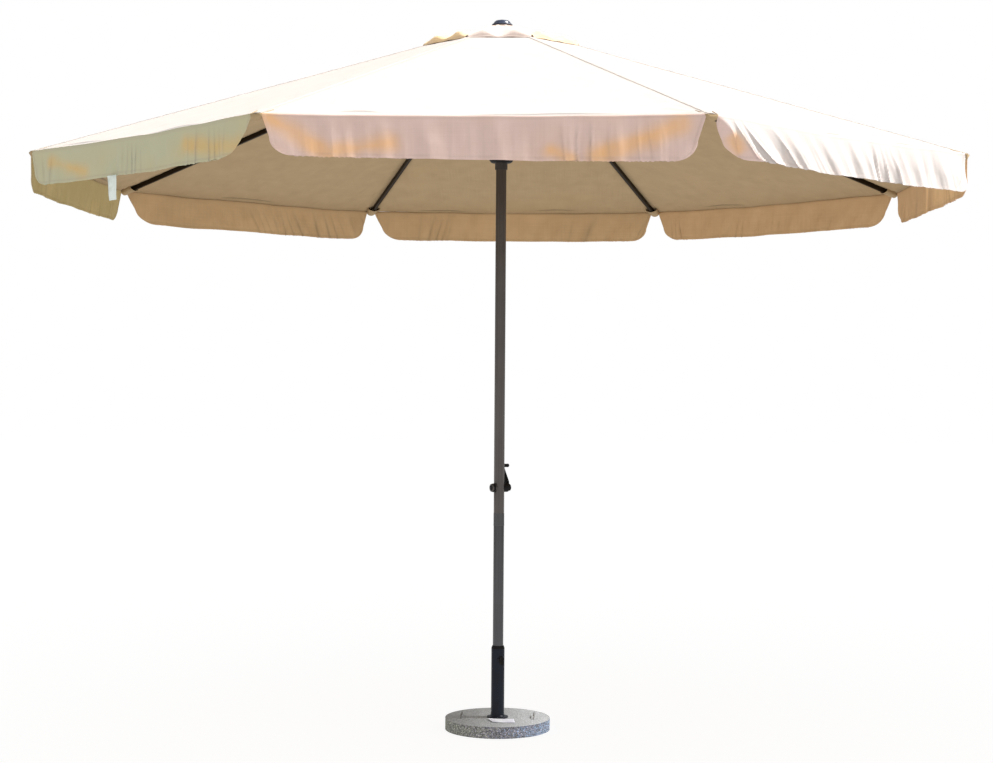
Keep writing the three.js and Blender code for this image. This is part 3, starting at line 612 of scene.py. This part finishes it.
# ---- Canopy ----
def plane_z(x):
    """Height of the fabric's underside at distance x from the mast along a panel's middle."""
    hinge = PIVOT_R * math.cos(HALF)
    return HUB_Z - (x - hinge) * math.tan(PANEL_ANGLE) + FABRIC_LIFT / math.cos(PANEL_ANGLE)


def eased(count):
    """Values from -1 to 1, closer together near both ends."""
    return np.sin(np.linspace(-math.pi / 2, math.pi / 2, count))


def rim_wave(k, y):
    """How the rim and the flap sewn to it wander up and down together."""
    share = 1 - (y / SIDE_HALF) ** 2
    return 0.0045 * bumps(y, 0 * y, k + 51, 5) * np.clip(share * 4, 0, 1)


def rim_tuck(k, y, hem):
    """How far the cloth is puckered up in short tucks, 0 to 1. hem is the distance from the rim."""
    tuck = 0 * y
    for start, end, out in TUCKS[k]:
        share = np.clip((y - start) / (end - start), 0, 1)
        arch = np.sin(math.pi * share)
        tuck = np.maximum(tuck, arch ** 0.7 * np.exp(-((hem - out - 0.006 * arch) / 0.005) ** 2))
    return tuck


def panel_surface(k, s, t):
    """Underside of a panel, facing +X. s runs across from -1 to 1, t down the slope from 0 to 1."""
    hem = RIM_X - RIM_SCOOP * (1 - s ** 2)
    x = VENT_X + (hem - VENT_X) * t
    half = x * math.tan(HALF) - SEAM_GAP
    y = s * half
    z = plane_z(x)
    edge = half * (1 - abs(s))
    sag = RIM_SAG * (1 - s ** 2) * t ** 1.5
    ripple = 0.0018 * bumps(x, y, k + 1, 4.5) + 0.0006 * bumps(x, y, k + 31, 22)
    # Puckers along the seams, and folds that fan out from the corners where the ribs pull.
    pucker = 0.0008 * np.sin(2 * math.pi * x / 0.047 + 3 * bumps(x, y, k + 11, 9)) * np.exp(-edge / 0.03)
    corner = np.hypot(RIM_X - x, edge)
    bearing = np.arctan2(edge, RIM_X - x + 1e-6)
    pull = 0.0026 * np.sin(11 * bearing + k) * np.exp(-corner / 0.22) * np.clip(edge / 0.05, 0, 1)
    z = z - sag + (ripple + pull) * np.clip(edge / 0.02, 0, 1) + pucker * np.clip(edge / 0.008, 0, 1)
    tuck = rim_tuck(k, y, (RIM_X - x) / math.cos(PANEL_ANGLE))
    z = z + rim_wave(k, y) * t ** 14 + 0.004 * tuck * np.clip(edge / 0.03, 0, 1)
    return np.stack([x, y, z], axis=-1), edge


def canopy_panel(k):
    """A canopy side from the vent to the rim, with finer rows where the rim's tucks are."""
    rows = np.concatenate([np.linspace(0, 0.95, 80, endpoint=False), np.linspace(0.95, 1, 30)])
    s, t = np.meshgrid(eased(61), rows)
    low, edge = panel_surface(k, s, t)
    top = offset(low, FABRIC_T)
    down = low[..., 0] / math.cos(PANEL_ANGLE)
    uv = (low[..., 1], down)
    hem = (RIM_X - low[..., 0]) / math.cos(PANEL_ANGLE)
    beside_tape, hem_seam = 0.022, 0.014
    nearest = np.minimum(abs(edge - beside_tape), abs(hem - hem_seam))
    sewing = (np.where(hem < 0.02, low[..., 1], down), nearest, 0.0)
    azimuth = panel_azimuth(k)
    # The rim's tucks get painted shade along them.
    piece = cloth_sheet(f"canopy_{k + 1}", turned(top, azimuth), turned(low, azimuth), sewing, uv,
                        [TOP, UNDER], painted_shade=rim_tuck(k, low[..., 1], hem))
    fold_with(piece, f"panel_{k + 1}")
    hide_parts(f"panel_{k + 1}")


def seam_tape(k):
    """The binding sewn over the seam between two panels, along the top of a rib."""
    rows, columns = 120, 7
    half = TAPE_W / 2
    t, d = np.meshgrid(np.linspace(0, 1, rows), np.linspace(0, 1, columns), indexing="ij")
    strips = []
    for panel, sign in (((k - 1) % SIDES, 1), (k, -1)):
        x = VENT_X + (RIM_X - VENT_X) * t
        s = sign * (1 - d * half / (x * math.tan(HALF)))
        strips.append(turned(panel_surface(panel, s, t)[0], panel_azimuth(panel)))
    low = np.concatenate([strips[0][:, ::-1], strips[1][:, 1:]], axis=1)
    low = offset(low, FABRIC_T + 0.0003)
    top = offset(low, 0.0009)
    slope = (TIP_R - PIVOT_R) / math.cos(RIB_ANGLE)
    across, along = np.meshgrid(np.linspace(-half, half, low.shape[1]), np.linspace(0, slope, rows))
    sewing = (along, abs(abs(across) - half + 0.003), 0.0)
    piece = cloth_sheet(f"seam_tape_{k + 1}", top, low, sewing, (across, along), [TOP, TOP])
    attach(piece, f"rib_{k + 1}")


def valance_outline(v):
    """Half the width of a flap at depth v, from 0 at the seam to 1 at its lower hem."""
    gap = 0.016                           # between its top corner and the canopy's
    tall, wide = 0.056, 0.068             # its rounded lower corner
    taper = 0.026
    straight = 1 - tall / VALANCE_DROP
    depth = np.clip((v - straight) * VALANCE_DROP / tall, 0, 1)
    return SIDE_HALF - gap - taper * np.clip(v / straight, 0, 1) - wide * (1 - np.sqrt(1 - depth ** 2))


def painted_glow_patches(k, y, v):
    """How much painted golden glow of light a flap's cloth has at each of its points, from 0 to 1."""
    warm_and_painted_glow = 0 * y
    for y0, v0, y1, v1, width in GLOW_PATCHES.get(k, ()):
        along = np.array([y1 - y0, (v1 - v0) * VALANCE_DROP])
        gap = np.stack([y - y0, (v - v0) * VALANCE_DROP], axis=-1)
        share = np.clip(gap @ along / (along @ along), 0, 1)
        away = np.linalg.norm(gap - share[..., None] * along, axis=-1)
        away = away + 0.014 * bumps(y, v * VALANCE_DROP, k, 14)
        warm_and_painted_glow = np.maximum(warm_and_painted_glow, np.exp(-(np.maximum(away, 0) / width) ** 2))
    return warm_and_painted_glow


def valance_flap(k):
    """A flap sewn to the canopy's rim. Each hangs its own way: see FLAPS."""
    waves, creases, slant, curl, left_cut, right_cut, flare = FLAPS[k]
    left_short, right_short = SHORT.get(k, (0.0, 0.0))
    columns, rows = 280, 40
    crowded = 1.25                        # how much closer the columns are towards both ends
    v = np.sin(np.linspace(0, math.pi / 2, rows))
    s, v = np.meshgrid(np.sin(np.linspace(-crowded, crowded, columns)) / math.sin(crowded), v)
    half = valance_outline(v)
    y = s * half + (left_cut * np.clip(-s, 0, 1) ** 3 - right_cut * np.clip(s, 0, 1) ** 3) * v ** 1.5
    short = left_short + (right_short - left_short) * np.clip(s / 2 + 0.5, 0, 1)
    depth = v * VALANCE_DROP * (1 - short)
    share = 1 - (y / SIDE_HALF) ** 2
    loose = np.clip(v * 1.6, 0, 1) ** 1.3

    # Wide waves, and sharper creases that come and go along the flap. Both grow towards the hem.
    along = y + 0.12 * bumps(y, 0 * y, k + 3, 3) - slant * depth * (0.7 - 0.4 * s)
    folds = np.sin(2 * math.pi * along / 0.17) + 0.7 * np.sin(2 * math.pi * along / 0.074 + k)
    folds = folds + 1.3 * bumps(y, depth, k + 5, 8)
    spacing = along / 0.058 + 1.7 * bumps(along, 0.4 * depth, k + 17, 7)
    ridge = 1 - abs(np.sin(math.pi * spacing))
    strength = np.clip(2.6 * bumps(along, 0.3 * depth, k + 23, 5) + 0.25, 0, 1.5)
    fine = bumps(along * 5, depth * 0.5, k + 29, 16)
    crease = ridge ** 3 * strength * (1 - np.clip((abs(s) - 0.8) / 0.1, 0, 1) * v ** 5)
    swing = waves * folds * loose * 0.5 + creases * (crease + 0.25 * fine) * loose

    fold_line = 0.21 * v - half[0, 0]     # left of this line the end of the flap curls in
    turn_in = curl * 0.006 * np.logaddexp(0, (fold_line - y) / 0.006) * np.clip(5 * v, 0, 1)
    x = RIM_X - RIM_SCOOP * share + 0.0003 + swing + (0.004 + flare) * v - turn_in
    rim_z = plane_z(RIM_X - RIM_SCOOP * share) + FABRIC_T + 0.0006 - RIM_SAG * share + rim_wave(k, y)
    z = rim_z - depth
    low = np.stack([x, y, z], axis=-1)
    hem = np.minimum((1 - v) * VALANCE_DROP, half - abs(y))
    thick = FABRIC_T + 0.0009 / (1 + np.exp((hem - 0.011) / 0.0008))
    top = offset(low, thick)
    hem_seam, top_seam = 0.0095, 0.007
    nearest = np.minimum(abs(hem - hem_seam), abs(depth - top_seam))
    # The third value is the share of a painted cool cast of reflected light.
    sewing = (y + depth, nearest, COOL_CAST.get(k, 0.0))
    azimuth = panel_azimuth(k)
    # Painted sunlight: the flap is whiter right of its fold line, where the sun falls on it.
    sunlit_whitening = SUNLIT_WHITENING.get(k, 0.0) * np.clip((y - fold_line) / 0.02, 0, 1)
    # Painted shade along the creases.
    piece = cloth_sheet(f"flap_{k + 1}", turned(top, azimuth), turned(low, azimuth), sewing, (y, depth),
                        [FLAP, FLAP_IN], painted_glow_patches(k, y, v), 0.45 * crease * loose, sunlit_whitening)
    fold_with(piece, f"valance_{k + 1}")
    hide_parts(f"valance_{k + 1}")


def rib_frame(k, along, across, above):
    """Points in a rib's own frame: along it from its pivot, across it, and above its centreline."""
    x = PIVOT_R + along * math.cos(RIB_ANGLE) + above * math.sin(RIB_ANGLE)
    z = HUB_Z - along * math.sin(RIB_ANGLE) + above * math.cos(RIB_ANGLE)
    return turned(np.stack([x, across, z], axis=-1), rib_azimuth(k))


def rib_pocket(k):
    """The cloth pocket under a canopy corner that the end of a rib sits in."""
    tip = (TIP_R - PIVOT_R) / math.cos(RIB_ANGLE)
    rib_end = tip - 0.008
    reach = 0.055                         # how far along the rib the pocket's mouth is
    a, t = np.meshgrid(np.linspace(0, math.pi, 25), np.linspace(0, 1, 26))
    along = rib_end - reach + (tip - 0.001 - rib_end + reach) * t
    closing = np.clip((along - rib_end - 0.0012) / 0.0055, 0, 1)
    depth = (0.0212 + 0.0008 * np.sin(5 * a) * (1 - t)) * np.sqrt(1 - 0.9996 * closing ** 2)
    across = 0.0185 * np.cos(a) * (1 + 0.5 * (1 - t)) * (1 - 0.2 * closing)
    above = 0.0100 - depth * np.sin(a) ** 0.6
    low = rib_frame(k, along, across, above)
    top = offset(low, 0.0011)
    sewing = (across + depth, abs(t - 0.12) * reach, 0.0)
    piece = cloth_sheet(f"rib_pocket_{k + 1}", top, low, sewing, (0.028 * a, along), [UNDER, UNDER])
    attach(piece, f"rib_{k + 1}")


# ---- Vent cap ----
def vent_cap(k):
    """One side of the ruffled cap over the vent, with a short skirt that turns down at its rim."""
    inner, bunch = 0.044, 0.0095
    skirt_length, skirt_cut = 0.016, 0.018
    rows, skirt, columns = 34, 9, 65
    s, t = np.meshgrid(np.linspace(-1, 1, columns), np.linspace(0, 1, rows))
    r = inner + (CAP_R - inner) * t
    x = r * math.cos(HALF)
    y = s * (x * math.tan(HALF) - 0.0002)
    azimuth = panel_azimuth(k)
    fall = (CAP_TOP_Z - CAP_RIM_Z) / (CAP_R - FINIAL_R)
    lift = (0.002 + CAP_LIFT * np.sin(math.pi * s) ** 2) * t ** 2.2
    around = turned(np.stack([x, y, 0 * x], axis=-1), azimuth)
    ruffle = bumps(around[..., 0], around[..., 1], 3, 26) * 0.006 * t ** 2 * (1 - s ** 4)
    spin = np.arctan2(around[..., 1], around[..., 0])
    gather = abs(np.sin(6.5 * spin + 0.8)) ** 0.5 + 0.5 * abs(np.sin(11 * spin))
    crease = bunch * (gather - 1) * np.exp(-(r - inner) / 0.07) * np.clip((r - inner) / 0.012, 0, 1)
    z = CAP_TOP_Z - FABRIC_T - (np.maximum(r, FINIAL_R) - FINIAL_R) * fall + lift + ruffle + crease
    body = np.stack([x, y, z], axis=-1)
    rim = body[-1]
    floor = plane_z(rim[:, 0] + 0.013) + FABRIC_T + 0.0012
    floor = floor + 0.001 * (1 - np.cos(2 * math.pi * (s[0] * 1.5 + 0.31 * k))) * (1 - s[0] ** 2)
    drop = np.maximum(rim[:, 2] - floor, 0.003)
    share = np.linspace(0, 1, skirt + 1)[1:, None] + 0 * s[0]
    out = 0.0025 * np.sin(math.pi * np.minimum(share * 1.4, 1)) + 0.013 * share
    hanging = np.stack([rim[:, 0] + out, rim[:, 1] + 0 * out, rim[:, 2] - drop * share], axis=-1)
    low = np.concatenate([body, hanging])
    top = offset(low, 0.0011)
    run = np.concatenate([r, CAP_R + skirt_length * share])
    nearest = np.minimum(abs(run - CAP_R + 0.004), abs(run - CAP_R - 0.012))
    sewing = (low[..., 1], nearest, 0.0)
    # Painted golden glow of light on the ruffles' rim and skirt.
    warm_and_painted_glow = CAP_GLOW[k] * np.clip((run - 0.86 * CAP_R) / (0.12 * CAP_R), 0, 1)
    # Painted shade in the gathers under the finial.
    painted_gather_shade = np.concatenate([np.clip(-1.6 * crease / bunch - 0.2, 0, 1), np.zeros((skirt, columns))])
    piece = cloth_sheet(f"vent_cap_{k + 1}", turned(top, azimuth), turned(low, azimuth), sewing,
                        (low[..., 1], run), [CAP, GLOW], warm_and_painted_glow, painted_gather_shade)
    fold_with(piece, f"panel_{k + 1}")


def cap_crown():
    """The middle of the vent cap, held between the washer and the finial."""
    rim = 0.047
    a, r = np.meshgrid(np.linspace(0, 2 * math.pi, 97), np.linspace(0.0125, rim, 9))
    z = CAP_TOP_Z + 0.0004 - 0.25 * np.maximum(r - 0.041, 0) + 0 * a
    low = np.stack([r * np.cos(a), r * np.sin(a), z], axis=-1)
    top = low + np.array([0, 0, 0.0009])
    sewing = (r * a, abs(r - 0.043), 0.0)
    piece = cloth_sheet("vent_cap_crown", top, low, sewing, (low[..., 0], low[..., 1]), [CAP, CAP])
    with edited(piece) as mesh:
        bmesh.ops.remove_doubles(mesh, verts=mesh.verts, dist=1e-6)
        doubled = [f for f in mesh.faces if all(len(e.link_faces) > 2 for e in f.edges)]
        bmesh.ops.delete(mesh, geom=doubled, context="FACES")
    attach(piece, "upper_mast")
    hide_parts("vent_cap")


# ---- Blank tag and blank card ----
def blank_tag():
    """A small blank label that hangs from the lower hem of a flap."""
    k = 7
    width, length = 0.054, 0.082
    s, t = np.meshgrid(np.linspace(-1, 1, 9), np.linspace(0, 1, 25))
    y = TAG_Y + s * width / 2 + 0.2 * t * length
    x = RIM_X + 0.0125 + 0.003 * s * t + 0.006 * np.sin(2.2 * t) * t
    z = plane_z(RIM_X) - RIM_SAG - VALANCE_DROP + 0.018 - t * length
    low = np.stack([x, y, z], axis=-1)
    top = offset(low, 0.0005)
    azimuth = panel_azimuth(k)
    sewing = (y, abs(t * length - 0.006), 0.0)
    piece = cloth_sheet("blank_tag", turned(top, azimuth), turned(low, azimuth), sewing, (y, t),
                        [LABEL, LABEL])
    fold_with(piece, f"valance_{k + 1}")


def blank_card():
    """A blank card that lies on the disc in front of the tube."""
    width, depth = 0.092, 0.05
    middle = (0.021, -0.088)
    turn = math.radians(-5)
    s, t = np.meshgrid(np.linspace(-0.5, 0.5, 23), np.linspace(-0.5, 0.5, 13))
    x = width * s * (1 + 0.14 * t) - 0.33 * depth * t
    y = depth * t
    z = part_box("base_disc")[1].z + 0.0012 + 0.012 * s ** 2 * 0.5 + 0.004 * (t + 0.5) ** 2
    cx = middle[0] + x * math.cos(turn) - y * math.sin(turn)
    cy = middle[1] + x * math.sin(turn) + y * math.cos(turn)
    low = np.stack([cx, cy, z], axis=-1)
    top = low + np.array([0, 0, 0.0005])
    piece = cloth_sheet("blank_card", top, low, (s, 1.0, 0.0), (cx, cy), [CARD, CARD])
    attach(piece, "base")


# ---- Base, mast and fittings ----
def cast_disc():
    """The disc: its side is rough with pebbles and its top is ground smooth."""
    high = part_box("base_disc")[1]
    radius, height = high.x, high.z
    edge, pebble, sunk, relief = 0.003, 0.0043, 0.0030, 0.0034
    hole, recess, recess_top = 0.0072, 0.020, 0.016
    profile = [(recess, 0.0), (0.07, 0.0), (0.13, 0.0), (0.17, 0.0), (radius - 2 * edge, 0.0)]
    for a in np.linspace(-math.pi / 2, math.pi / 2, 31):
        bulge = math.copysign(abs(math.sin(a)) ** 0.35, a)
        profile.append((radius - edge + edge * math.cos(a) ** 0.5, height / 2 + bulge * height / 2))
    profile += [(radius - edge - 0.009 * i, height) for i in range(1, 20)]
    profile += [(hole, height), (hole, recess_top), (recess, recess_top)]

    def pebbled(r, z, a):
        place = Vector((r * math.cos(a), r * math.sin(a), z))
        if r > radius - 2 * edge and 0.0005 < z:
            cells = noise.voronoi(place / pebble)[0]
            knob = min(cells[1] - cells[0], 0.5) * relief - sunk
            share = min(1, (height - z) / 0.004)
            place += Vector((math.cos(a), math.sin(a), 0)) * knob * share
        if z > height - 1e-6:
            place.z += 0.00035 * noise.noise(place * 190) + 0.0005 * noise.noise(place * 24) - 0.0004
        return place

    piece = lathe("cast_disc", profile, 700, pebbled, STONE)
    sharpen(piece, 50)
    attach(piece, "base")
    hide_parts("base_disc")


def lifting_grip(node):
    """A bent round bar with its legs sunk in the disc."""
    low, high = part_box(node)
    bar = (high.x - low.x) / 2
    x = (low.x + high.x) / 2
    span = (high.y - low.y) / 2 - bar
    top = high.z - bar
    bend = 0.013
    near = [(x, -span, low.z + 0.002), (x, -span, (low.z + top) / 2)]
    for a in np.linspace(0, math.pi / 2, 9):
        near.append((x, -span + bend * (1 - math.cos(a)), top - bend * (1 - math.sin(a))))
    far = [(x, -y, z) for _, y, z in reversed(near)]
    piece = swept(node + "_bar", near + far, 0.8 * bar, GRIP)
    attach(piece, "base")
    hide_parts(node)


def joint_line(name):
    """A point on a joint's axis, and the axis."""
    return Vector(JOINTS[name]["pos_m"]), Vector(JOINTS[name]["axis"])


def knurled_cap():
    """The knurled end of the winch's left bearing."""
    place, axis = joint_line("crank_turn")
    profile = [(0.0, -0.0342), (0.0100, -0.0342), (0.0122, -0.0335), (0.0142, -0.0315), (0.0156, -0.0290),
               (0.0160, -0.0270), (0.0160, -0.0235), (0.0156, -0.0215), (0.0, -0.0215)]
    ridges, knurled_from = 28, 0.0125

    def knurled(r, z, a):
        reach = r + (0.0006 * math.cos(ridges * a) if r > knurled_from else 0)
        return reach * math.cos(a), reach * math.sin(a), z

    piece = lathe("winch_cap", profile, 280, knurled, PLASTIC)
    with edited(piece) as mesh:
        bmesh.ops.remove_doubles(mesh, verts=mesh.verts, dist=1e-6)
        bmesh.ops.recalc_face_normals(mesh, faces=mesh.faces)
    turn = axis.to_track_quat("Z", "Y").to_matrix().to_4x4()
    piece.data.transform(Matrix.Translation(place) @ turn)
    sharpen(piece)
    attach(piece, "upper_mast")


def crank_web():
    """The thin web that stiffens the inner side of the crank's arm."""
    centre, along = joint_line("crank_turn")
    up = (joint_line("crank_knob_spin")[0] - centre).normalized()
    side = up.cross(along)
    arm, hub, tip = 0.0235, 0.0372, 0.0242          # along the winch's axis
    foot, shoulder, top = 0.0176, 0.0215, 0.0730    # up the arm from that axis
    thick = 0.008
    outline = [(arm, foot), (hub, foot), (hub, shoulder), (tip, top), (arm, top)]
    sides = (-thick / 2, thick / 2)
    points = [centre + along * x + up * z + side * y for y in sides for x, z in outline]
    count = len(outline)
    faces = [tuple(range(count)), tuple(range(2 * count - 1, count - 1, -1))]
    faces += [(i, i + count, (i + 1) % count + count, (i + 1) % count) for i in range(count)]
    piece = new_object("crank_web", points, faces, [PLASTIC])
    bevelled(piece, 0.0008)
    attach(piece, "crank")


def hard_parts():
    """Finer copies of every hard CAD piece, each in its own finish."""
    mast = ((0, 0, 0), (0, 0, 1))
    owner = {node: body for body, nodes in frame["record"]["behaviour"]["bodies"].items() for node in nodes}
    slots = {entry["node"]: entry["material_slot"] for entry in frame["record"]["subparts"]}
    looks = {"tube_steel": TUBE, "plated_steel": PLATED, "black_plastic": PLASTIC, "mast_paint": MAST,
             "collar": COLLAR, "finial_plastic": FINIAL, "rib_paint": RIB}
    own = {"lower_mast": LOWER_MAST, "crank_bearing_left": MAST, "runner": RUNNER}
    turned_about = (
        (mast, ("base_tube", "base_bolt", "base_washer", "base_nut", "tube_bush", "mast_foot", "lower_mast",
                "mast_spigot", "mast_collar", "upper_mast", "top_hub", "hub_wire", "cap_washer", "finial",
                "runner", "runner_flange")),
        (joint_line("crank_turn"), ("crank_bearing_left", "crank_bearing_right", "crank_axle",
                                    "crank_arm")),
        (joint_line("crank_knob_spin"), ("crank_knob",)),
        (joint_line("clamp_turn"), ("clamp_shank", "clamp_knob")),
        (joint_line("pulley_spin"), ("cord_pulley",)))
    for about, nodes in turned_about:
        for node in nodes:
            slot = slots[node]
            refined(node, own.get(node, looks[slot]), owner[node], about)
    for k in range(1, SIDES + 1):
        for node in (f"rib_{k}", f"strut_{k}"):
            refined(node, RIB, node, width=0.0009)


# ---- Floor and light ----
def add_floor():
    bpy.ops.mesh.primitive_plane_add(size=60)
    floor = bpy.context.object
    floor.name = "floor"
    t = Tree("floor")
    t.shade("Base Color", (0.2, 0.2, 0.2, 1))
    t.shade("Roughness", 0.9)
    t.shade("Specular IOR Level", 0.1)
    t.shade("Emission Color", (1, 1, 1, 1))
    t.shade("Emission Strength", 0.87)
    floor.data.materials.append(t.material)
    return floor


def add_world():
    """A white studio, dimmer behind the object than in front of it, and plain white to the camera."""
    world = bpy.data.worlds.new("studio")
    world.use_nodes = True
    nodes, links = world.node_tree.nodes, world.node_tree.links
    plain = nodes["Background"]
    plain.inputs["Color"].default_value = (1, 1, 1, 1)
    light = nodes.new("ShaderNodeBackground")
    place = nodes.new("ShaderNodeTexCoord")
    split = nodes.new("ShaderNodeSeparateXYZ")
    strength = nodes.new("ShaderNodeMapRange")
    spread = {"From Min": -1.0, "From Max": 0.6, "To Min": FRONT_LIGHT, "To Max": REAR_LIGHT}
    for name, value in spread.items():
        strength.inputs[name].default_value = value
    path = nodes.new("ShaderNodeLightPath")
    mix = nodes.new("ShaderNodeMixShader")
    links.new(place.outputs["Generated"], split.inputs[0])
    links.new(split.outputs["Y"], strength.inputs["Value"])
    links.new(strength.outputs["Result"], light.inputs["Strength"])
    links.new(path.outputs["Is Camera Ray"], mix.inputs["Fac"])
    links.new(light.outputs[0], mix.inputs[1])
    links.new(plain.outputs[0], mix.inputs[2])
    links.new(mix.outputs[0], nodes["World Output"].inputs["Surface"])
    SCENE.world = world


def add_sun(floor):
    """Soft sunlight from the right, which the floor doesn't take, so that the backdrop stays plain."""
    sun = bpy.data.lights.new("sun", "SUN")
    sun.energy = 7.0
    sun.angle = math.radians(12)
    sun.color = (1.0, 0.985, 0.965)
    lamp = bpy.data.objects.new("sun", sun)
    azimuth, elevation = math.radians(3), math.radians(52)
    toward = Vector((math.cos(azimuth) * math.cos(elevation), math.sin(azimuth) * math.cos(elevation),
                     math.sin(elevation)))
    lamp.rotation_euler = toward.to_track_quat("Z", "Y").to_euler()
    SCENE.collection.objects.link(lamp)
    shaded = bpy.data.collections.new("not_lit_by_the_sun")
    shaded.objects.link(floor)
    lamp.light_linking.receiver_collection = shaded
    shaded.collection_objects[0].light_linking.link_state = "EXCLUDE"


add_camera()
add_world()
add_sun(add_floor())
SCENE.view_settings.view_transform = "Standard"
for side in range(SIDES):
    canopy_panel(side)
    valance_flap(side)
    seam_tape(side)
    rib_pocket(side)
    vent_cap(side)
cap_crown()
blank_tag()
cast_disc()
blank_card()
lifting_grip("grip_left")
lifting_grip("grip_right")
knurled_cap()
crank_web()
hard_parts()
